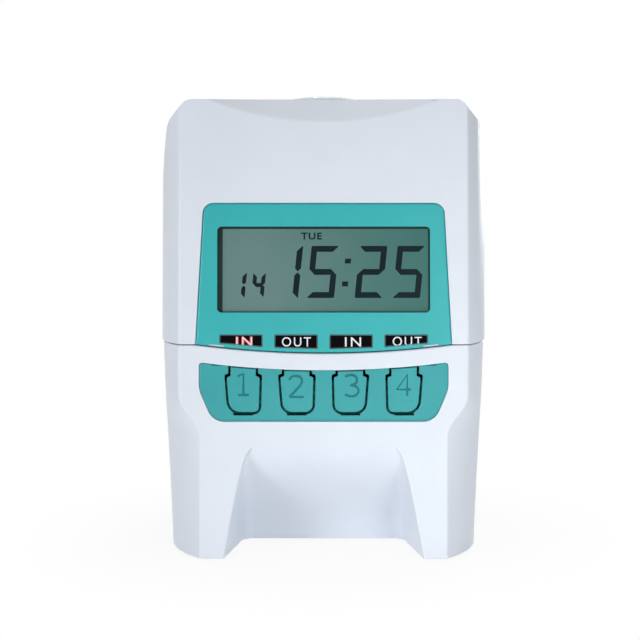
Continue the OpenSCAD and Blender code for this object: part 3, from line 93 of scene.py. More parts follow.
def add_node(tree: bpy.types.NodeTree, kind: str, links: dict[str | int, Socket],
             **settings: float | str | Sequence[float]) -> bpy.types.Node:
    """Adds a node to a tree.

    Args:
        tree: The tree.
        kind: Type name of the node.
        links: Sockets that feed its inputs, by the input's name or number.
        settings: Values of its other inputs, or of its properties where no input has the name.

    Returns:
        The new node.
    """
    made = tree.nodes.new(kind)
    for name, value in settings.items():
        if name in made.inputs:
            made.inputs[name].default_value = value
        else:
            setattr(made, name, value)
    for name, source in links.items():
        tree.links.new(source, made.inputs[name])
    return made


class Graph:
    """Node tree of one material while it is being wired."""

    def __init__(self, label: str) -> None:
        """Starts a material.

        Args:
            label: Name of the material.
        """
        self.material = bpy.data.materials.new(label)
        self.material.use_nodes = True
        self.tree = self.material.node_tree
        self.shader = self.tree.nodes["Principled BSDF"]
        self.place = self.tree.nodes.new("ShaderNodeTexCoord").outputs["Object"]

    def constants(self, **values: float | Colour) -> None:
        """Sets values on the shader's own sockets.

        Args:
            values: Socket names with underscores for spaces, and their values.
        """
        for name, value in values.items():
            socket = self.shader.inputs[name.replace("_", " ")]
            socket.default_value = (*value, 1.0) if isinstance(value, tuple) else value

    def stretched(self, scale: Sequence[float]) -> Socket:
        """Gives object coordinates scaled by a factor along each axis."""
        made = add_node(self.tree, "ShaderNodeMapping", {"Vector": self.place}, Scale=tuple(scale))
        return made.outputs["Vector"]

    def noise(self, scale: float, detail: float = 2.0, stretch: Sequence[float] | None = None) -> Socket:
        """Adds a noise field.

        Args:
            scale: Features per metre.
            detail: Octaves.
            stretch: Factor along each axis, for a directional field.

        Returns:
            The field's value.
        """
        source = self.stretched(stretch) if stretch else self.place
        made = add_node(self.tree, "ShaderNodeTexNoise", {"Vector": source}, Scale=scale, Detail=detail)
        return made.outputs["Fac"]

    def spread(self, source: Socket, low: float, high: float, start: float = FIELD_LOW,
               end: float = FIELD_HIGH) -> Socket:
        """Maps a field's values from start to end to values from low to high."""
        limits = dict(zip(RANGE, (start, end, low, high)))
        return add_node(self.tree, "ShaderNodeMapRange", {"Value": source}, **limits).outputs["Result"]

    def tint(self, source: Socket, dark: Colour, light: Colour,
             start: float = FIELD_LOW, end: float = FIELD_HIGH) -> Socket:
        """Maps a field to a range of colour.

        Args:
            source: Field from 0 to 1.
            dark: Colour at the field's start value.
            light: Colour at the field's end value.
            start: Field value of the first colour.
            end: Field value of the second colour.

        Returns:
            The colour.
        """
        made = add_node(self.tree, "ShaderNodeValToRGB", {"Fac": source})
        ramp = made.color_ramp
        ramp.elements[0].position, ramp.elements[1].position = start, end
        ramp.elements[0].color, ramp.elements[1].color = (*dark, 1.0), (*light, 1.0)
        return made.outputs["Color"]

    def feed(self, source: Socket, name: str) -> None:
        """Links a source to a named socket of the shader."""
        self.tree.links.new(source, self.shader.inputs[name])

    def relief(self, height: Socket, depth: float) -> None:
        """Raises the surface by a field from 0 to 1, whose full range is a depth in metres."""
        made = add_node(self.tree, "ShaderNodeBump", {"Height": height}, Distance=depth)
        self.feed(made.outputs["Normal"], "Normal")


def shade(colour: Colour, factor: float) -> Colour:
    """Scales each channel of a linear colour, held below 1."""
    return tuple(min(1.0, c * factor) for c in colour)


@dataclass(frozen=True)
class Finish:
    """A finish with mottled colour, uneven gloss and a fine surface grain.

    The cloud and the haze are noise fields, with their features per metre and their octaves. The cloud varies
    the colour and the haze the gloss, by the share called uneven. The speckle is the grain's octaves.
    """

    label: str
    colour: Colour
    roughness: float
    grain: float = 2600.0
    grain_depth: float = 0.000012
    mottle: float = 0.02
    metallic: float = 0.0
    specular: float = 0.5
    cloud: Pair = (55.0, 4.0)
    haze: Pair = (420.0, 3.0)
    speckle: float = 3.0
    uneven: float = 0.12
    made: ClassVar[dict[str, bpy.types.Material]] = {}

    def material(self) -> bpy.types.Material:
        """Gives the material, made on first use.

        Returns:
            The finish's material.
        """
        if self.label not in Finish.made:
            graph = Graph(self.label)
            graph.constants(Metallic=self.metallic, Specular_IOR_Level=self.specular)
            self.wire(graph)
            Finish.made[self.label] = graph.material
        return Finish.made[self.label]

    def wire(self, graph: Graph) -> None:
        """Wires colour, gloss and grain.

        Args:
            graph: Node tree of the finish.
        """
        dark, light = shade(self.colour, 1 - self.mottle), shade(self.colour, 1 + self.mottle)
        graph.feed(graph.tint(graph.noise(*self.cloud), dark, light), "Base Color")
        self.gloss(graph, graph.noise(*self.haze))
        graph.relief(graph.noise(self.grain, self.speckle), self.grain_depth)

    def gloss(self, graph: Graph, source: Socket) -> None:
        """Varies the roughness of a finish by a field from 0 to 1."""
        low, high = self.roughness * (1 - self.uneven), self.roughness * (1 + self.uneven)
        graph.feed(graph.spread(source, low, high), "Roughness")


@dataclass(frozen=True)
class BrushedFinish(Finish):
    """Metal with fine lines along one axis."""

    lines: Place = (0.04, 1.0, 1.0)
    brush: Pair = (2400.0, 2.0)
    cloud: Pair = (90.0, 3.0)
    dull: float = 0.86
    uneven: float = 0.25

    def wire(self, graph: Graph) -> None:
        """Wires brushed lines into gloss and relief, under a cloudy colour.

        Args:
            graph: Node tree of the finish.
        """
        lines = graph.noise(*self.brush, self.lines)
        cloud = graph.noise(*self.cloud)
        graph.feed(graph.tint(cloud, shade(self.colour, self.dull), self.colour), "Base Color")
        self.gloss(graph, lines)
        graph.relief(lines, self.grain_depth)


@dataclass(frozen=True)
class BoardFinish(Finish):
    """Solder mask over copper tracks."""

    tracks: ClassVar[dict[str, float | tuple[float, ...]]] = {
        "Color1": (0.0, 0.0, 0.0, 1.0), "Color2": (0.25, 0.25, 0.25, 1.0), "Mortar": (1.0, 1.0, 1.0, 1.0),
        "Mortar Size": 0.05, "Scale": 1.0, "offset": 0.35}
    pitch: Place = (420.0, 420.0, 420.0)
    copper: float = 1.9
    fade: Pair = (0.1, 0.9)
    haze: Pair = (600.0, 2.0)
    uneven: float = 0.2

    def wire(self, graph: Graph) -> None:
        """Wires tracks as lighter, raised lines under the mask.

        Args:
            graph: Node tree of the finish.
        """
        links = {"Vector": graph.stretched(self.pitch)}
        lines = add_node(graph.tree, "ShaderNodeTexBrick", links, **self.tracks).outputs["Color"]
        graph.feed(graph.tint(lines, self.colour, shade(self.colour, self.copper), *self.fade), "Base Color")
        self.gloss(graph, graph.noise(*self.haze))
        graph.relief(lines, self.grain_depth)


@dataclass(frozen=True)
class LayeredFinish(Finish):
    """Stacked sheets, wound wire or woven threads seen as fine bands."""

    bands: float = 900.0
    axis: str = "Y"
    waver: float = 0.4
    contrast: Pair = (0.7, 1.25)
    haze: Pair = (500.0, 2.0)
    uneven: float = 0.15

    def wire(self, graph: Graph) -> None:
        """Wires bands into colour and relief.

        Args:
            graph: Node tree of the finish.
        """
        bands = add_node(graph.tree, "ShaderNodeTexWave", {"Vector": graph.place}, Distortion=self.waver,
                         Scale=self.bands / math.tau, bands_direction=self.axis).outputs["Fac"]
        dark, light = (shade(self.colour, factor) for factor in self.contrast)
        graph.feed(graph.tint(bands, dark, light), "Base Color")
        self.gloss(graph, graph.noise(*self.haze))
        graph.relief(bands, self.grain_depth)


@dataclass(frozen=True)
class CrystalFinish(Finish):
    """Liquid crystal cell whose colour darkens slowly towards +X."""

    far: Colour = (0.03, 0.14, 0.12)
    reach: float = 0.05
    cloud: Pair = (38.0, 2.0)
    drift: float = 0.06
    fade: Pair = (0.2, 0.95)
    haze: Pair = (5200.0, 1.0)
    speckle: float = 1.0
    uneven: float = 0.2

    def wire(self, graph: Graph) -> None:
        """Wires a colour that darkens slowly towards +X, faint clouds and a speckle.

        Args:
            graph: Node tree of the finish.
        """
        across = add_node(graph.tree, "ShaderNodeSeparateXYZ", {"Vector": graph.place}).outputs["X"]
        ramp = graph.spread(across, 0.0, 1.0, -self.reach, self.reach)
        cloud = graph.spread(graph.noise(*self.cloud), -self.drift, self.drift)
        total = add_node(graph.tree, "ShaderNodeMath", {0: ramp, 1: cloud}, operation="ADD")
        graph.feed(graph.tint(total.outputs["Value"], self.colour, self.far, *self.fade), "Base Color")
        self.gloss(graph, graph.noise(*self.haze))
        graph.relief(graph.noise(self.grain, self.speckle), self.grain_depth)


MOULDED = {"grain": 2300.0, "grain_depth": 0.000014}
PRINTED = {"grain": 4200.0, "grain_depth": 0.000003}
SCREEN = {"grain": 5000.0, "grain_depth": 0.000002}

CASE_WHITE = Finish("case white", (0.765, 0.815, 0.89), 0.4, mottle=0.012, specular=0.3, **MOULDED)
TURQUOISE = Finish("turquoise", (0.028, 0.43, 0.44), 0.36, mottle=0.03, **MOULDED)
KEY_TURQUOISE = Finish("key turquoise", (0.042, 0.365, 0.38), 0.36, mottle=0.03, specular=0.3, **MOULDED)
# Painted shade: the engraved grooves are darkened, though the numerals are of the key's own turquoise.
GROOVE_PAINTED_SHADE = Finish("engraved groove painted shade", (0.016, 0.21, 0.225), 0.5, grain=3200.0, grain_depth=0.00001, mottle=0.08,
                specular=0.3)
BLACK = Finish("black plastic", (0.012, 0.013, 0.015), 0.42, grain=1900.0, grain_depth=0.00002, mottle=0.15)
LAMP_BLACK = Finish("lamp plate", (0.003, 0.002, 0.003), 0.22, grain=5200.0, grain_depth=0.000003, mottle=0.2,
                    specular=0.03)
LAMP_RIM = Finish("lamp rim", (0.06, 0.105, 0.11), 0.4, grain=3000.0, mottle=0.08, specular=0.3)
WORD_WHITE = Finish("word ink", (0.80, 0.82, 0.85), 0.45, mottle=0.03, **PRINTED)
WORD_LIT = Finish("lit word", (0.96, 0.60, 0.62), 0.45, mottle=0.05, **PRINTED)
WORD_GLOW = Finish("lit word edge", (0.62, 0.07, 0.09), 0.45, mottle=0.1, **PRINTED)
CRYSTAL = CrystalFinish("display cell", (0.128, 0.232, 0.218), 0.3, grain=7000.0, grain_depth=0.000002,
                        specular=0.3, far=(0.042, 0.155, 0.137))
# Dark sheet on the display cell: its printed border, with painted shadow of the window's walls in the wider
# left and top strips.
BORDER_AND_PAINTED_SHADOW = Finish("display border and painted shadow", (0.008, 0.028, 0.024), 0.4, mottle=0.2, specular=0.2, **SCREEN)
SEGMENT = Finish("display segment", (0.004, 0.014, 0.019), 0.34, mottle=0.25, specular=0.1, **SCREEN)
DIFFUSER = Finish("backlight sheet", (0.78, 0.80, 0.78), 0.6, mottle=0.03)
BOARD = BoardFinish("circuit board", (0.015, 0.11, 0.035), 0.4, grain_depth=0.00003)
# Teal board behind the key slots: painted shade, tinted as by light off the slots' turquoise walls, in place
# of the circuit board finish.
TEAL_SLOT_SHADE_BOARD = BoardFinish("key switch board teal painted shade", (0.06, 0.30, 0.30), 0.5, grain_depth=0.00003, specular=0.2)
STEEL = BrushedFinish("zinc plated steel", (0.58, 0.59, 0.61), 0.32, grain_depth=0.000006, metallic=1.0)
CHROME = BrushedFinish("chrome plate", (0.74, 0.75, 0.77), 0.12, grain_depth=0.000001, metallic=1.0)
BRASS = BrushedFinish("turned brass", (0.62, 0.45, 0.17), 0.26, grain_depth=0.000005, metallic=1.0)
RUBBER = Finish("rubber", (0.018, 0.018, 0.019), 0.75, grain=1700.0, grain_depth=0.00004, mottle=0.25)
ACETAL = Finish("acetal", (0.74, 0.70, 0.56), 0.45, mottle=0.04)
IRON = LayeredFinish("laminated iron", (0.10, 0.085, 0.075), 0.5, grain_depth=0.00005, metallic=0.4,
                     bands=1400.0)
RIBBON = LayeredFinish("inked ribbon", (0.012, 0.011, 0.016), 0.7, grain_depth=0.00003, bands=4200.0,
                       axis="Z")
SLEEVE = Finish("cell sleeve", (0.05, 0.22, 0.10), 0.24, mottle=0.06)
DIODE = Finish("diode epoxy", (0.62, 0.04, 0.03), 0.12, grain_depth=0.000002, mottle=0.08)

FINISH_OF_SLOT: dict[Slot, Finish] = {
    Slot.CASE: CASE_WHITE, Slot.TURQUOISE: TURQUOISE, Slot.BLACK: BLACK, Slot.GLASS: CRYSTAL,
    Slot.BACKLIGHT: DIFFUSER, Slot.BOARD: BOARD, Slot.STEEL: STEEL, Slot.CHROME: CHROME, Slot.BRASS: BRASS,
    Slot.RUBBER: RUBBER, Slot.GEAR: ACETAL, Slot.TRANSFORMER: IRON, Slot.RIBBON: RIBBON,
    Slot.BATTERY: SLEEVE, Slot.DIODE: DIODE,
}


class Bench:
    """Modelling steps that the sub-assemblies share.

    Angles are in degrees. WIDEST is the rounding in millimetres that a bevel weight of 1 stands for.
    """

    FLAT = 0.05
    SHARP = 40.0
    SMOOTH = 35.0
    WIDEST = 2.0
    MERGED = 0.000004

    @staticmethod
    def clear() -> None:
        """Leaves edit mode and deselects everything."""
        if bpy.context.object and bpy.context.object.mode != "OBJECT":
            bpy.ops.object.mode_set(mode="OBJECT")
        bpy.ops.object.select_all(action="DESELECT")

    @staticmethod
    def take(piece: Piece) -> None:
        """Selects one piece alone and makes it active.

        Args:
            piece: The piece.
        """
        Bench.clear()
        piece.select_set(True)
        bpy.context.view_layer.objects.active = piece

    @staticmethod
    @contextmanager
    def editing(piece: Piece) -> Iterator[None]:
        """Opens a piece in edit mode, all of it selected, and closes it again.

        Args:
            piece: The piece.

        Yields:
            Nothing, while the piece is open.
        """
        Bench.take(piece)
        bpy.ops.object.mode_set(mode="EDIT")
        bpy.ops.mesh.select_all(action="SELECT")
        yield
        bpy.ops.object.mode_set(mode="OBJECT")

    @staticmethod
    def close(piece: Piece, reach: float) -> None:
        """Merges the near vertices of a piece and turns its normals outward.

        Args:
            piece: The piece.
            reach: Distance within which vertices are merged, in the piece's units.
        """
        with Bench.editing(piece):
            bpy.ops.mesh.remove_doubles(threshold=reach)
            bpy.ops.mesh.normals_make_consistent(inside=False)

    @staticmethod
    def rectangle(width: float, height: float) -> Piece:
        """Adds a flat rectangle around the origin.

        Args:
            width: Size along X in millimetres.
            height: Size along Y in millimetres.

        Returns:
            The rectangle, in millimetres.
        """
        Bench.clear()
        bpy.ops.mesh.primitive_plane_add(size=1.0)
        piece = bpy.context.object
        piece.data.transform(Matrix.Diagonal((width, height, 1.0, 1.0)))
        return piece

    @staticmethod
    def pick(piece: Piece, test: Test) -> None:
        """Selects vertices of the piece in edit mode by their place.

        Args:
            piece: The piece in edit mode.
            test: Says whether a vertex is wanted.
        """
        mesh = bmesh.from_edit_mesh(piece.data)
        mesh.select_mode = {"VERT"}
        for vertex in mesh.verts:
            vertex.select = test(vertex.co)
        mesh.select_flush_mode()
        bmesh.update_edit_mesh(piece.data)

    @staticmethod
    def apply(piece: Piece, kind: str, **settings: float | str | Piece) -> None:
        """Adds a modifier and applies it.

        Args:
            piece: The piece.
            kind: Modifier type.
            settings: Its properties.
        """
        Bench.take(piece)
        modifier = piece.modifiers.new(kind.lower(), kind)
        for name, value in settings.items():
            setattr(modifier, name, value)
        bpy.ops.object.modifier_apply(modifier=modifier.name)

    @staticmethod
    def place(piece: Piece, matrix: Matrix) -> None:
        """Puts a piece's place into its mesh, with its object left at the origin."""
        piece.data.transform(matrix @ piece.matrix_basis)
        piece.matrix_basis = Matrix.Identity(4)

    @staticmethod
    def coat(piece: Piece, *finishes: Finish) -> None:
        """Gives a piece its finishes.

        Args:
            piece: The piece.
            finishes: Its finishes, in the order of its faces' material numbers.
        """
        slots = piece.data.materials
        for index, finish in enumerate(finishes):
            if index < len(slots):
                slots[index] = finish.material()
            else:
                slots.append(finish.material())

    @staticmethod
    def join(name: str, parts: Sequence[Piece]) -> Piece:
        """Joins parts into one piece.

        Args:
            name: Name of the piece.
            parts: The parts, the first of which takes the others in.

        Returns:
            The joined piece.
        """
        Bench.take(parts[0])
        for part in parts[1:]:
            part.select_set(True)
        bpy.ops.object.join()
        parts[0].name = name
        return parts[0]

    @staticmethod
    def copy_node(node: str) -> Piece:
        """Copies a solid's mesh, merged and with its flat faces made whole.

        Args:
            node: Name of the solid.

        Returns:
            The copy, at the origin.
        """
        source = frame["nodes"][node]
        piece = bpy.data.objects.new(node + "_dressed", source.data.copy())
        bpy.context.scene.collection.objects.link(piece)
        Bench.take(piece)
        if piece.data.has_custom_normals:
            bpy.ops.mesh.customdata_custom_splitnormals_clear()
        with Bench.editing(piece):
            bpy.ops.mesh.remove_doubles(threshold=Bench.MERGED)
            bpy.ops.mesh.dissolve_limited(angle_limit=math.radians(Bench.FLAT))
        return piece

    @staticmethod
    def ends(edge: Edge, test: Test) -> bool:
        """Says whether both ends of an edge lie in a place."""
        return all(test(end.co) for end in edge.verts)

    @staticmethod
    def looks_away(edge: Edge, core: Vector) -> bool:
        """Says whether both faces of an edge look away from a point inside the piece."""
        reach = (edge.verts[0].co + edge.verts[1].co) / 2 - core
        return all(face.normal.dot(reach) > 0.0 for face in edge.link_faces)

    @staticmethod
    def round_edges(piece: Piece, width: Callable[[Edge], float], segments: int = 3) -> None:
        """Rounds the sharp edges of a piece, each by its own width.

        Args:
            piece: The piece.
            width: Gives an edge's rounding in millimetres, 0 for none.
            segments: Facets across the rounding.
        """
        mesh = bmesh.new()
        mesh.from_mesh(piece.data)
        weight = mesh.edges.layers.float.new("bevel_weight_edge")
        for edge in mesh.edges:
            if edge.is_manifold and edge.calc_face_angle(0.0) > math.radians(Bench.SHARP):
                edge[weight] = width(edge) / Bench.WIDEST
        mesh.to_mesh(piece.data)
        mesh.free()
        Bench.apply(piece, "BEVEL", width=Bench.WIDEST * MM, segments=segments, limit_method="WEIGHT",
                    use_clamp_overlap=False, loop_slide=False)

    @staticmethod
    def cut(piece: Piece, cutter: Piece) -> None:
        """Cuts a shape out of a piece and removes the cutter."""
        Bench.apply(piece, "BOOLEAN", operation="DIFFERENCE", solver="EXACT", object=cutter, use_self=True)
        bpy.data.objects.remove(cutter)

    @staticmethod
    def finish(piece: Piece, node: str, *finishes: Finish) -> None:
        """Smooths a copy, coats it and lets it stand for its solid.

        Args:
            piece: The copy.
            node: Name of the solid.
            finishes: Finishes of the copy.
        """
        Bench.take(piece)
        bpy.ops.object.shade_smooth_by_angle(angle=math.radians(Bench.SMOOTH))
        Bench.apply(piece, "WEIGHTED_NORMAL", keep_sharp=True)
        Bench.coat(piece, *finishes)
        Bench.stand_for(piece, node)

    @staticmethod
    def stand_for(piece: Piece, node: str) -> None:
        """Lets a piece ride on a solid's body and hides the solid in its place.

        Args:
            piece: The piece.
            node: Name of the solid.
        """
        bodies = frame["record"]["behaviour"]["bodies"]
        body = next(name for name, nodes in bodies.items() if node in nodes)
        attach(piece, body)
        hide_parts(node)
        LOG.info("%s stands for %s on %s", piece.name, node, body)

    @staticmethod
    def carry(piece: Piece, body: Body, slot: Slot, finish: Finish) -> None:
        """Coats a new piece and lets it ride on a body.

        Args:
            piece: The piece.
            body: The body.
            slot: The slot, not used.
            finish: The finish.
        """
        Bench.coat(piece, finish)
        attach(piece, body.value)
        LOG.info("%s rides on %s", piece.name, body.value)


@dataclass(frozen=True)
class Face:
    """Leaning front face, with x across it, s up it and depth into the case."""

    lean: float = math.radians(8.0)
    front: float = -59.0 * MM

    def step(self, up: float = 0.0, out: float = 0.0) -> Vector:
        """Gives a step in metres from its millimetres up the face and square out of it."""
        return self.at(0.0, 0.0, 0.0).to_3x3() @ Vector((0.0, up * MM, out * MM))

    def at(self, x: float, s: float, depth: float) -> Matrix:
        """Gives the place of a flat mark on the face.

        Args:
            x: Distance across the face in millimetres.
            s: Distance up the face in millimetres.
            depth: Depth behind the face in millimetres.

        Returns:
            A matrix that stands a shape drawn in X and Y up on the face.
        """
        tilt = Matrix.Translation((0.0, self.front, 0.0)) @ Matrix.Rotation(-self.lean, 4, "X")
        shift = Matrix.Translation((x * MM, depth * MM, s * MM))
        return tilt @ shift @ Matrix.Rotation(math.radians(90.0), 4, "X")

    def local(self, point: Vector) -> Place:
        """Gives a point's distance across the face, distance up it and depth, in millimetres."""
        flat = self.at(0.0, 0.0, 0.0).inverted() @ point
        return flat.x / MM, flat.y / MM, -flat.z / MM


FACE = Face()


@dataclass(frozen=True)
class Lettering:
    """A short word cut as a thin raised plate, sizes in millimetres."""

    words: str
    height: float
    thickness: float
    span: float
    weight: float
    spacing: float
    curve_steps: int = 6
    raw_rise: float = 0.02
    merged: float = 0.000002

    def build(self, name: str) -> Piece:
        """Makes the plate, centred on the origin.

        Args:
            name: Name of the piece.

        Returns:
            The mesh piece, drawn in X and Y and raised to +Z, sizes in metres.
        """
        Bench.clear()
        bpy.ops.object.text_add()
        piece = bpy.context.object
        piece.name = name
        curve = piece.data
        curve.body = self.words
        curve.space_character = self.spacing
        curve.offset = self.weight
        curve.resolution_u = self.curve_steps
        curve.extrude = self.raw_rise
        bpy.ops.object.convert(target="MESH")
        low = [min(v.co[i] for v in piece.data.vertices) for i in range(3)]
        high = [max(v.co[i] for v in piece.data.vertices) for i in range(3)]
        middle = Matrix.Translation([-(low[i] + high[i]) / 2 for i in range(2)] + [-low[2]])
        wanted = (self.span, self.height, self.thickness)
        size = Matrix.Diagonal([wanted[i] * MM / (high[i] - low[i]) for i in range(3)] + [1.0])
        piece.data.transform(size @ middle)
        Bench.close(piece, self.merged)
        return piece


@dataclass
class Case:
    """White cover, base and rear panel with their feet, in millimetres."""

    edge: float = 0.4
    pocket_edge: float = 0.35
    lip_edge: float = 0.9
    arch_edge: float = 0.6
    feet_edge: float = 0.5
    scoop_half: float = 54.0
    scoop_fade: float = 14.0
    scoop_low: float = 204.0
    pocket_half: float = 60.2
    pocket_low: float = 62.0
    lip_span: Pair = (94.0, 100.2)
    arch_half: float = 50.0
    rear: float = 58.97
    near: float = 0.03
    middles: ClassVar[dict[str, float]] = {"upper_cover": 0.15, "base_housing": 0.06, "rear_panel": 0.11}

    def build(self) -> None:
        """Rounds the shells and dresses what is fixed to them."""
        for node, height in self.middles.items():
            piece = Bench.copy_node(node)
            core = Vector((0.0, 0.0, height))
            Bench.round_edges(piece, lambda edge: self.width(edge, core))
            Bench.finish(piece, node, CASE_WHITE)
        feet = Bench.copy_node("rubber_feet")
        Bench.apply(feet, "BEVEL", width=self.feet_edge * MM, segments=2, limit_method="ANGLE",
                    angle_limit=math.radians(Bench.SHARP), use_clamp_overlap=True, miter_outer="MITER_ARC")
        Bench.finish(feet, "rubber_feet", RUBBER)

    def width(self, edge: Edge, core: Vector) -> float:
        """Gives the rounding of an edge of a shell.

        Args:
            edge: The edge.
            core: Point inside the shell.

        Returns:
            The width in millimetres, 0 for an inner edge.
        """
        ends = [FACE.local(end.co) for end in edge.verts]
        if all(abs(depth) < self.near for _, _, depth in ends):
            return self.front_width(max(abs(x) for x, _, _ in ends), min(s for _, s, _ in ends))
        rear = all(end.co.y > self.rear * MM for end in edge.verts)
        return self.edge if rear or Bench.looks_away(edge, core) else 0.0

    def front_width(self, reach: float, height: float) -> float:
        """Gives the rounding of an edge that bounds the leaning front face.

        Args:
            reach: Largest distance of the edge from the middle, in millimetres.
            height: Its lowest place up the face, in millimetres.

        Returns:
            The width in millimetres.
        """
        if height > self.scoop_low:
            share = min(1.0, max(0.0, (self.scoop_half - reach) / self.scoop_fade))
            return self.edge + (self.lip_edge - self.edge) * share
        if reach < self.pocket_half and height > self.pocket_low:
            low, high = self.lip_span
            return self.lip_edge if low < height < high else self.pocket_edge
        return self.arch_edge if height < self.pocket_low and reach < self.arch_half else self.edge


class End(Enum):
    """Shapes of the end of a display segment."""

    CORNER = "corner"
    WAIST = "waist"
    SQUARE = "square"


@dataclass(frozen=True)
class Row:
    """Digits of one size, each with its place across the face, in millimetres."""

    figures: tuple[tuple[str, float], ...]
    width: float
    height: float
    stroke: float
    low: float


@dataclass
class Readout:
    """Seven-segment time, date and weekday on the display cell, in millimetres."""

    depth: float = 2.86
    thickness: float = 0.04
    slant: float = 0.1
    blunt: float = 0.6 / 2.7
    split: float = 0.5
    near: float = 0.05
    merged: float = 0.02

    ROWS: ClassVar[tuple[Row, ...]] = (
        Row((("1", -24.9), ("5", -8.05), ("2", 14.5), ("5", 32.2)), 12.9, 24.4, 2.75, 122.1),
        Row((("1", -42.9), ("4", -34.0)), 5.9, 11.3, 1.9, 122.5),
    )
    DOT: ClassVar[Pair] = (2.8, 2.3)
    DOTS: ClassVar[tuple[Pair, ...]] = ((11.4, 139.4), (10.0, 128.7))
    DAY_PLACE: ClassVar[Pair] = (-5.7, 151.1)
    PATTERNS: ClassVar[dict[str, str]] = {"1": "bc", "2": "abged", "4": "fgbc", "5": "afgcd"}

    def bar(self, length: float, width: float, ends: tuple[End, End]) -> Piece:
        """Draws one segment along X, its outer side at +Y.

        Args:
            length: Length between the corners of the digit, in millimetres.
            width: Width of the stroke, in millimetres.
            ends: Shape of each end.

        Returns:
            The flat segment, in millimetres.
        """
        piece = Bench.rectangle(length, width)
        reach, rise = length / 2 - self.near, width / 2
        with Bench.editing(piece):
            for side, end in zip((-1, 1), ends):
                if end is End.CORNER:
                    Bench.pick(piece, lambda c: c.x * side > reach and c.y < 0)
                    bpy.ops.transform.translate(value=(-side * width, 0.0, 0.0))
                elif end is End.WAIST:
                    Bench.pick(piece, lambda c: c.x * side > reach)
                    bpy.ops.mesh.subdivide(number_cuts=1)
                    Bench.pick(piece, lambda c: c.x * side > reach and abs(c.y) > rise / 2)
                    bpy.ops.transform.translate(value=(-side * rise, 0.0, 0.0))
        return piece

    def raise_up(self, piece: Piece) -> Piece:
        """Gives a flat mark its thickness and turns it to metres.

        Args:
            piece: The flat mark, in millimetres.

        Returns:
            The same mark, closed.
        """
        with Bench.editing(piece):
            bpy.ops.mesh.extrude_region_move(TRANSFORM_OT_translate={"value": (0.0, 0.0, self.thickness)})
            bpy.ops.mesh.select_all(action="SELECT")
            bpy.ops.mesh.normals_make_consistent(inside=False)
        piece.data.transform(Matrix.Scale(MM, 4))
        return piece

    def digit(self, figure: str, width: float, height: float, stroke: float) -> Piece:
        """Models one digit with its lower left corner at the origin.

        Args:
            figure: The digit.
            width: Width in millimetres, before the slant.
            height: Height in millimetres.
            stroke: Width of a segment in millimetres.

        Returns:
            The digit, its joined segments as one sheet.
        """
        inner, tall = stroke / 2, height / 2
        apart = self.split / 2 if figure == "1" else 0.0
        places = {
            "a": (0.0, (width / 2, height - inner), width, (End.CORNER, End.CORNER)),
            "d": (180.0, (width / 2, inner), width, (End.CORNER, End.CORNER)),
            "g": (0.0, (width / 2, tall), width - stroke, (End.WAIST, End.WAIST)),
            "b": (-90.0, (width - inner, height * 0.75 + apart), tall, (End.CORNER, End.WAIST)),
            "c": (-90.0, (width - inner, height * 0.25 - apart), tall, (End.WAIST, End.CORNER)),
            "f": (90.0, (inner, height * 0.75), tall, (End.WAIST, End.CORNER)),
            "e": (90.0, (inner, height * 0.25), tall, (End.CORNER, End.WAIST)),
        }
        parts = []
        for name in self.PATTERNS[figure]:
            turn, (x, y), length, ends = places[name]
            part = self.bar(length, stroke, ends)
            Bench.place(part, Matrix.Translation((x, y, 0.0)) @ Matrix.Rotation(math.radians(turn), 4, "Z"))
            parts.append(part)
        piece = Bench.join("digit_" + figure, parts)
        with Bench.editing(piece):
            bpy.ops.mesh.remove_doubles(threshold=self.merged)
            bpy.ops.mesh.dissolve_faces()
            Bench.pick(piece, lambda c: max(min(c.x, width - c.x), min(c.y, height - c.y)) < self.near)
            bpy.ops.mesh.bevel(offset=self.blunt * stroke, segments=2, affect="VERTICES")
        return self.raise_up(piece)

    def lean(self, piece: Piece, x: float, s: float) -> Piece:
        """Slants a mark and stands it on the display cell.

        Args:
            piece: The mark.
            x: Its origin across the face, in millimetres.
            s: Its origin up the face, in millimetres.

        Returns:
            The same mark in its place.
        """
        slant = Matrix.Identity(4)
        slant[0][1] = self.slant
        Bench.place(piece, FACE.at(x, s, self.depth + self.thickness) @ slant)
        return piece

    def build(self) -> None:
        """Builds the time, the date and the weekday."""
        parts: list[Piece] = []
        for row in self.ROWS:
            for figure, x in row.figures:
                parts.append(self.lean(self.digit(figure, row.width, row.height, row.stroke), x, row.low))
        for x, s in self.DOTS:
            parts.append(self.lean(self.raise_up(self.bar(*self.DOT, (End.SQUARE, End.SQUARE))), x, s))
        day = Lettering("TUE", 3.3, self.thickness, span=9.8, weight=0.025, spacing=1.15).build("readout_day")
        Bench.place(day, FACE.at(*self.DAY_PLACE, self.depth + self.thickness))
        for piece in (Bench.join("readout_time", parts), day):
            Bench.carry(piece, Body.COVER, Slot.BLACK, SEGMENT)


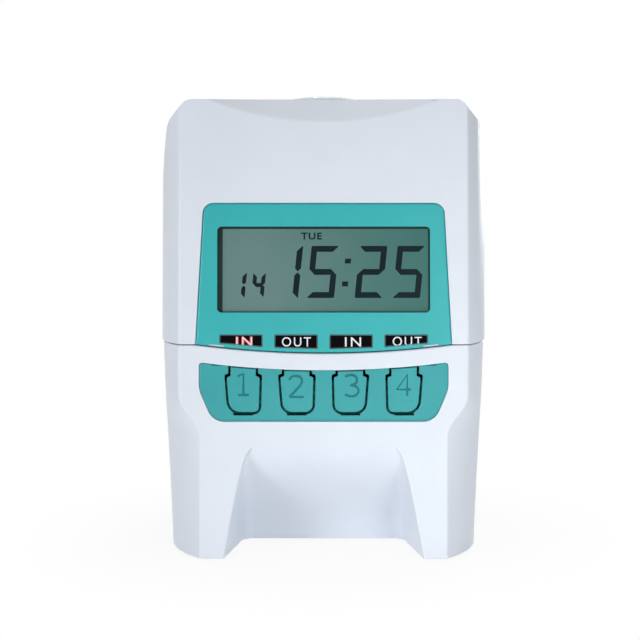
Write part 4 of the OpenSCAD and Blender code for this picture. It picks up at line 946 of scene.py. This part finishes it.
@dataclass
class DisplayPanel:
    """Turquoise bezel with the display cell and the four column lamps, in millimetres."""

    edge: float = 0.25
    edge_depth: float = 0.9
    rim_edge: float = 1.2
    rim_depth: float = 0.6
    rim_foot: float = 102.0
    rim_half: float = 53.0
    rim_top: float = 160.0
    rim_grow: float = 0.12
    near: float = 0.1
    plate_depth: float = 0.8
    plate_rim: float = 0.34
    plate_sink: float = 0.12
    plate_facing: float = 0.99
    word_height: float = 4.4
    word_rise: float = 0.05
    word_spacing: float = 1.25
    word_weight: float = 0.004
    glow_weight: float = 0.045
    glow_sink: float = 0.03
    glass_depth: float = 2.9
    mask_rise: float = 0.02
    mask_overlap: float = 0.5
    window: tuple[float, float, float, float] = (-49.7, 115.23, 49.7, 155.43)

    WORDS: ClassVar[tuple[tuple[str, float, float, Finish], ...]] = (
        ("IN", -37.1, 101.75, WORD_LIT), ("OUT", -12.7, 101.55, WORD_WHITE),
        ("IN", 13.7, 101.5, WORD_WHITE), ("OUT", 39.0, 101.75, WORD_WHITE))
    SPANS: ClassVar[dict[str, float]] = {"IN": 7.5, "OUT": 13.5}
    SPAN_GROWTH: ClassVar[float] = 8.0
    # Width of the dark sheet on each side; the wider left and top strips are painted shadow cast by the
    # window's walls.
    BORDER_AND_SHADOW_SIDES: ClassVar[tuple[tuple[int, int, float], ...]] = (
        (0, -1, 2.4), (0, 1, 0.7), (1, -1, 0.5), (1, 1, 1.0))

    def build(self) -> None:
        """Builds the bezel, the lamp plates, their words, the dark border with its painted shadow and the
        readout.
        """
        self.bezel()
        self.plates()
        self.words()
        self.mask()
        Readout().build()

    def bezel(self) -> None:
        """Brings the bezel up to its pocket's walls and rounds its rim and the edges of its windows."""
        piece = Bench.copy_node("display_bezel")
        aside = Vector((self.rim_grow * MM, 0.0, 0.0))
        with Bench.editing(piece):
            for test, shift in ((lambda x, s: x < -self.rim_half, -aside),
                                (lambda x, s: x > self.rim_half, aside),
                                (lambda x, s: s > self.rim_top, FACE.step(up=self.rim_grow))):
                Bench.pick(piece, lambda point: test(*FACE.local(point)[:2]))
                bpy.ops.transform.translate(value=shift)
            bpy.ops.mesh.select_all(action="SELECT")
            bpy.ops.mesh.bisect(plane_co=FACE.step(up=self.rim_foot) + Vector((0.0, FACE.front, 0.0)),
                                plane_no=FACE.step(up=1.0).normalized())
        Bench.round_edges(piece, self.width)
        Bench.finish(piece, "display_bezel", TURQUOISE)

    def width(self, edge: Edge) -> float:
        """Gives the rounding of an edge of the bezel.

        Args:
            edge: The edge.

        Returns:
            The width in millimetres, 0 for an edge that stays sharp.
        """
        if Bench.ends(edge, self.at_rim):
            return self.rim_edge
        return self.edge if Bench.ends(edge, self.at_window) else 0.0

    def at_rim(self, point: Vector) -> bool:
        """Says whether a point lies on the front edge of the rim, above its foot."""
        x, s, depth = FACE.local(point)
        return (depth < self.rim_depth and s > self.rim_foot - self.near
                and (abs(x) > self.rim_half or s > self.rim_top))

    def at_window(self, point: Vector) -> bool:
        """Says whether a point lies on the front edge of the window or of a lamp opening."""
        x, s, depth = FACE.local(point)
        return depth < self.edge_depth and abs(x) < self.rim_half and s < self.rim_top

    def plates(self) -> None:
        """Gives each lamp plate a paler rim around its black window."""
        piece = Bench.copy_node("lamp_plates")
        Bench.coat(piece, LAMP_BLACK, LAMP_RIM)
        forward = FACE.step(out=1.0).normalized()
        with Bench.editing(piece):
            mesh = bmesh.from_edit_mesh(piece.data)
            for face in mesh.faces:
                face.select = face.normal.dot(forward) > self.plate_facing
                face.material_index = 1
            bmesh.update_edit_mesh(piece.data)
            bpy.ops.mesh.inset(thickness=self.plate_rim * MM, depth=-self.plate_sink * MM)
            mesh = bmesh.from_edit_mesh(piece.data)
            for face in mesh.faces:
                if face.select:
                    face.material_index = 0
            bmesh.update_edit_mesh(piece.data)
        Bench.stand_for(piece, "lamp_plates")

    def words(self) -> None:
        """Letters the four plates, the first of them lit."""
        floor = self.plate_depth + self.plate_sink
        for index, (word, x, s, finish) in enumerate(self.WORDS, start=1):
            self.word(f"lamp_word_{index}", word, (x, s, floor), self.word_weight, finish)
        word, x, s, _ = self.WORDS[0]
        self.word("lamp_glow_1", word, (x, s, floor + self.glow_sink), self.glow_weight, WORD_GLOW)

    def word(self, name: str, word: str, place: Place, weight: float, finish: Finish) -> None:
        """Sets one word on its plate.

        Args:
            name: Name of the piece.
            word: The word.
            place: Its middle across and up the face, and its depth, in millimetres.
            weight: How far its strokes are thickened.
            finish: Its finish.
        """
        span = self.SPANS[word] + self.SPAN_GROWTH * weight
        piece = Lettering(word, self.word_height, self.word_rise, span, weight, self.word_spacing).build(name)
        Bench.place(piece, FACE.at(*place))
        Bench.carry(piece, Body.COVER, Slot.CASE, finish)

    def mask(self) -> None:
        """Frames the display cell with a dark sheet on its front: its printed border, widened at the left and
        top as painted shadow of the window's walls.
        """
        left, low, right, high = self.window
        sizes = (right - left, high - low)
        piece = Bench.rectangle(*(size + 2 * self.mask_overlap for size in sizes))
        piece.name = "display_border_and_shadow"
        halves = [size / 2 - self.mask_overlap for size in sizes]
        with Bench.editing(piece):
            bpy.ops.mesh.inset(thickness=2 * self.mask_overlap)
            for axis, side, width in self.BORDER_AND_SHADOW_SIDES:
                edge, reach = side * halves[axis], halves[1 - axis] + self.near
                Bench.pick(piece, lambda c: abs(c[axis] - edge) < self.near and abs(c[1 - axis]) < reach)
                shift = Vector((0.0, 0.0, 0.0))
                shift[axis] = -side * (width - self.mask_overlap)
                bpy.ops.transform.translate(value=shift)
            mesh = bmesh.from_edit_mesh(piece.data)
            for face in mesh.faces:
                face.select = face.calc_center_median().length < halves[1] / 2
            bmesh.update_edit_mesh(piece.data)
            bpy.ops.mesh.delete(type="FACE")
        Readout(thickness=self.mask_rise).raise_up(piece)
        Bench.place(piece, FACE.at((left + right) / 2, (low + high) / 2, self.glass_depth))
        Bench.carry(piece, Body.COVER, Slot.BLACK, BORDER_AND_PAINTED_SHADOW)


@dataclass(frozen=True)
class Stroke:
    """One pass of the engraving cutter over a key, in millimetres from the numeral's lower left corner."""

    points: tuple[Pair, ...]
    curved: bool = False


@dataclass
class KeyBank:
    """Key panel and its four tongue keys with engraved numerals, in millimetres."""

    edge: float = 0.36
    edge_depth: float = 0.6
    lip: float = 0.6
    lip_gap: float = 0.03
    lip_near: float = 0.05
    panel_depth: float = 0.3
    slots_half: float = 49.5
    slots_low: float = 65.6
    key_front: float = 0.1
    cutter: float = 0.58
    cutter_facets: int = 4
    cut_depth: float = 0.42
    path_steps: int = 6
    merged: float = 0.005

    NUMERALS: ClassVar[dict[int, tuple[Stroke, ...]]] = {
        1: (Stroke(((0.3, 9.2), (3.0, 10.3), (3.0, 0.5))), Stroke(((0.5, 0.5), (5.6, 0.5)))),
        2: (Stroke(((0.5, 8.4), (1.5, 9.7), (3.6, 10.3), (5.7, 9.7), (6.5, 8.2), (6.1, 6.5), (4.3, 4.3),
                    (0.6, 0.5)), True), Stroke(((0.6, 0.5), (7.4, 0.5)))),
        3: (Stroke(((0.6, 9.6), (2.8, 10.3), (5.0, 9.9), (6.1, 8.2), (5.3, 6.3), (3.0, 5.6)), True),
            Stroke(((3.0, 5.6), (5.6, 5.0), (6.8, 3.1), (5.9, 1.2), (3.6, 0.4), (0.5, 1.2)), True)),
        4: (Stroke(((5.3, 0.5), (5.3, 10.3), (0.4, 3.5), (7.0, 3.5))),),
    }
    CORNERS: ClassVar[dict[int, Pair]] = {
        1: (-40.35, 76.3), 2: (-16.6, 75.4), 3: (9.45, 75.8), 4: (33.65, 75.85)}

    def build(self) -> None:
        """Rounds the panel and the keys and engraves a numeral in each key."""
        panel = Bench.copy_node("key_panel")
        self.turn_up(panel)
        Bench.round_edges(panel, self.width)
        Bench.finish(panel, "key_panel", KEY_TURQUOISE)
        for index in self.NUMERALS:
            node = f"key_{index}"
            key = Bench.copy_node(node)
            Bench.round_edges(key, self.width)
            # The engraving's faces take the darker colour as painted shade.
            Bench.coat(key, KEY_TURQUOISE, GROOVE_PAINTED_SHADE)
            Bench.cut(key, self.engraver(index))
            Bench.finish(key, node, KEY_TURQUOISE, GROOVE_PAINTED_SHADE)

    def turn_up(self, panel: Piece) -> None:
        """Bevels the rim of the panel and brings it forward until it is flush with the case.

        Args:
            panel: The panel.
        """
        wall = self.panel_depth + self.lip
        Bench.round_edges(panel, self.lip_width, 1)
        with Bench.editing(panel):
            Bench.pick(panel, lambda point: self.at_rim(point, wall))
            bpy.ops.transform.translate(value=FACE.step(out=wall - self.lip_gap))

    def lip_width(self, edge: Edge) -> float:
        """Gives the bevel of an edge of the panel in millimetres, 0 for one that isn't on its rim."""
        return self.lip if Bench.ends(edge, lambda point: self.at_rim(point, self.panel_depth)) else 0.0

    def at_rim(self, point: Vector, wanted: float) -> bool:
        """Says whether a point lies on the panel's rim at a depth in millimetres."""
        x, s, depth = FACE.local(point)
        return abs(depth - wanted) < self.lip_near and not self.among_slots(x, s)

    def width(self, edge: Edge) -> float:
        """Gives the rounding of an edge of the panel or of a key, in millimetres."""
        return self.edge if Bench.ends(edge, self.at_slot) else 0.0

    def among_slots(self, x: float, s: float) -> bool:
        """Says whether a place on the face lies inside the panel's rim."""
        return abs(x) <= self.slots_half and s >= self.slots_low

    def at_slot(self, point: Vector) -> bool:
        """Says whether a point lies on the front edge of a key or of its slot."""
        x, s, depth = FACE.local(point)
        return depth < self.edge_depth and self.among_slots(x, s)

    def engraver(self, index: int) -> Piece:
        """Makes the round path that the cutter takes out of one key.

        Args:
            index: The key's number.

        Returns:
            The path as a closed mesh in its place on the key.
        """
        parts = []
        for stroke in self.NUMERALS[index]:
            Bench.clear()
            bpy.ops.curve.primitive_bezier_curve_add()
            part = bpy.context.object
            path = part.data.splines[0]
            path.bezier_points.add(len(stroke.points) - 2)
            for point, (x, y) in zip(path.bezier_points, stroke.points):
                point.handle_left_type = point.handle_right_type = "AUTO" if stroke.curved else "VECTOR"
                point.co = (x, y, 0.0)
            part.data.bevel_depth = self.cutter
            part.data.bevel_resolution = self.cutter_facets
            part.data.resolution_u = self.path_steps
            part.data.use_fill_caps = True
            bpy.ops.object.convert(target="MESH")
            parts.append(part)
        piece = Bench.join(f"engraver_{index}", parts)
        Bench.close(piece, self.merged)
        Bench.coat(piece, KEY_TURQUOISE, GROOVE_PAINTED_SHADE)
        # The cutter's faces become the groove, which is coloured as painted shade.
        for face in piece.data.polygons:
            face.material_index = 1
        x, s = self.CORNERS[index]
        rise = self.cutter - self.cut_depth
        Bench.place(piece, FACE.at(x, s, self.key_front - rise) @ Matrix.Scale(MM, 4))
        return piece


@dataclass
class Works:
    """Every solid that keeps its own shape and only takes a finish."""

    def build(self) -> None:
        """Coats each shown solid by its slot."""
        slots = {row["node"]: Slot(row["material_slot"]) for row in frame["record"]["subparts"]}
        for name, solid in frame["nodes"].items():
            if not solid.hide_render:
                # The switch board seen through the key slots takes the teal painted shade.
                Bench.coat(solid, TEAL_SLOT_SHADE_BOARD if name == "switch_board" else FINISH_OF_SLOT[slots[name]])
                LOG.info("%s keeps its solid in %s", name, slots[name].value)


@dataclass(frozen=True)
class Lamp:
    """A soft square lamp that looks at the middle of the clock."""

    name: str
    place: Place
    size: float
    watts: float
    middle: Place = (0.0, 0.0, 0.11)

    def hang(self) -> None:
        """Hangs the lamp in the scene."""
        light = bpy.data.lights.new(self.name, "AREA")
        light.size = self.size
        light.energy = self.watts
        lamp = bpy.data.objects.new(self.name, light)
        lamp.location = self.place
        ray = Vector(self.middle) - Vector(self.place)
        lamp.rotation_euler = ray.to_track_quat("-Z", "Y").to_euler()
        bpy.context.scene.collection.objects.link(lamp)


@dataclass
class Studio:
    """Floor, backdrop light, lamps and camera."""

    lamps: tuple[Lamp, ...] = (
        Lamp("left", (-1.3, -1.1, 0.22), 0.6, 10.8),
        Lamp("right", (0.26, -0.42, 0.07), 0.14, 0.15),
        Lamp("near", (0.0, -0.32, 0.03), 0.12, 0.15),
        Lamp("near_right", (0.16, -0.3, 0.04), 0.1, 0.15),
        Lamp("upper_right", (0.13, -0.34, 0.17), 0.1, 0.08),
        Lamp("top", (0.0, 0.1, 1.6), 1.0, 8.3),
        Lamp("back", (0.6, 1.5, 0.5), 0.8, 14.0),
    )
    even: float = 0.2
    even_tint: Colour = (0.93, 0.96, 1.0)
    floor_size: float = 8.0
    floor_paint: Colour = (0.92, 0.92, 0.92)
    floor_roughness: float = 0.9
    fade_reach: Pair = (0.07, 0.17)
    fade_share: Pair = (0.9, 1.0)
    sensor: float = 36.0
    focal_pixels: float = 1760.0
    frame_pixels: float = 640.0
    eye: Place = (-1.7 * MM, -859.0 * MM, 200.0 * MM)
    pitch: float = 6.2549

    def build(self) -> None:
        """Sets the whole studio."""
        self.camera()
        self.world()
        self.floor()
        for lamp in self.lamps:
            lamp.hang()
        bpy.context.scene.view_settings.view_transform = "Standard"

    def camera(self) -> None:
        """Stands the camera where the photograph was taken."""
        lens = bpy.data.cameras.new("camera")
        lens.sensor_width = self.sensor
        lens.lens = self.focal_pixels / self.frame_pixels * self.sensor
        camera = bpy.data.objects.new("camera", lens)
        camera.location = self.eye
        camera.rotation_euler = (math.radians(90.0 - self.pitch), 0.0, 0.0)
        bpy.context.scene.collection.objects.link(camera)
        bpy.context.scene.camera = camera

    @staticmethod
    def seen(tree: bpy.types.NodeTree) -> Socket:
        """Marks the rays that show the background.

        Args:
            tree: Node tree of a material or the world.

        Returns:
            1 for camera, glossy and transmission rays.
        """
        path = tree.nodes.new("ShaderNodeLightPath")
        total = path.outputs["Is Camera Ray"]
        for name in ("Is Glossy Ray", "Is Transmission Ray"):
            links = {0: total, 1: path.outputs[name]}
            total = add_node(tree, "ShaderNodeMath", links, operation="MAXIMUM").outputs[0]
        return total

    def world(self) -> None:
        """Fills the studio with even light before a white background."""
        world = bpy.data.worlds.new("studio")
        bpy.context.scene.world = world
        world.use_nodes = True
        tree = world.node_tree
        tree.nodes.clear()
        even = add_node(tree, "ShaderNodeBackground", {}, Color=(*self.even_tint, 1.0), Strength=self.even)
        white = add_node(tree, "ShaderNodeBackground", {}, Color=(1.0, 1.0, 1.0, 1.0))
        links = {0: self.seen(tree), 1: even.outputs[0], 2: white.outputs[0]}
        mix = add_node(tree, "ShaderNodeMixShader", links)
        add_node(tree, "ShaderNodeOutputWorld", {"Surface": mix.outputs[0]})

    def floor(self) -> None:
        """Lays a pale floor that keeps the shadow near the clock and fades to white around it."""
        Bench.clear()
        bpy.ops.mesh.primitive_plane_add(size=self.floor_size)
        floor = bpy.context.object
        floor.name = "floor"
        graph = Graph("floor")
        graph.constants(Base_Color=self.floor_paint, Roughness=self.floor_roughness)
        tree = graph.tree
        glow = tree.nodes.new("ShaderNodeEmission")
        reach = add_node(tree, "ShaderNodeVectorMath", {0: graph.place}, operation="LENGTH").outputs["Value"]
        limits = dict(zip(RANGE, self.fade_reach + self.fade_share), interpolation_type="SMOOTHSTEP")
        fade = add_node(tree, "ShaderNodeMapRange", {"Value": reach}, **limits)
        links = {0: fade.outputs["Result"], 1: self.seen(tree)}
        share = add_node(tree, "ShaderNodeMath", links, operation="MULTIPLY").outputs[0]
        links = {0: share, 1: graph.shader.outputs[0], 2: glow.outputs[0]}
        mix = add_node(tree, "ShaderNodeMixShader", links)
        tree.links.new(mix.outputs[0], tree.nodes["Material Output"].inputs["Surface"])
        floor.data.materials.append(graph.material)


def main() -> None:
    """Builds the studio and the clock's sub-assemblies in order."""
    logging.basicConfig(level=logging.INFO, format="%(name)s: %(message)s")
    for assembly in (Studio(), Case(), DisplayPanel(), KeyBank(), Works()):
        LOG.info("building %s", type(assembly).__name__)
        assembly.build()


if __name__ == "__main__":
    main()
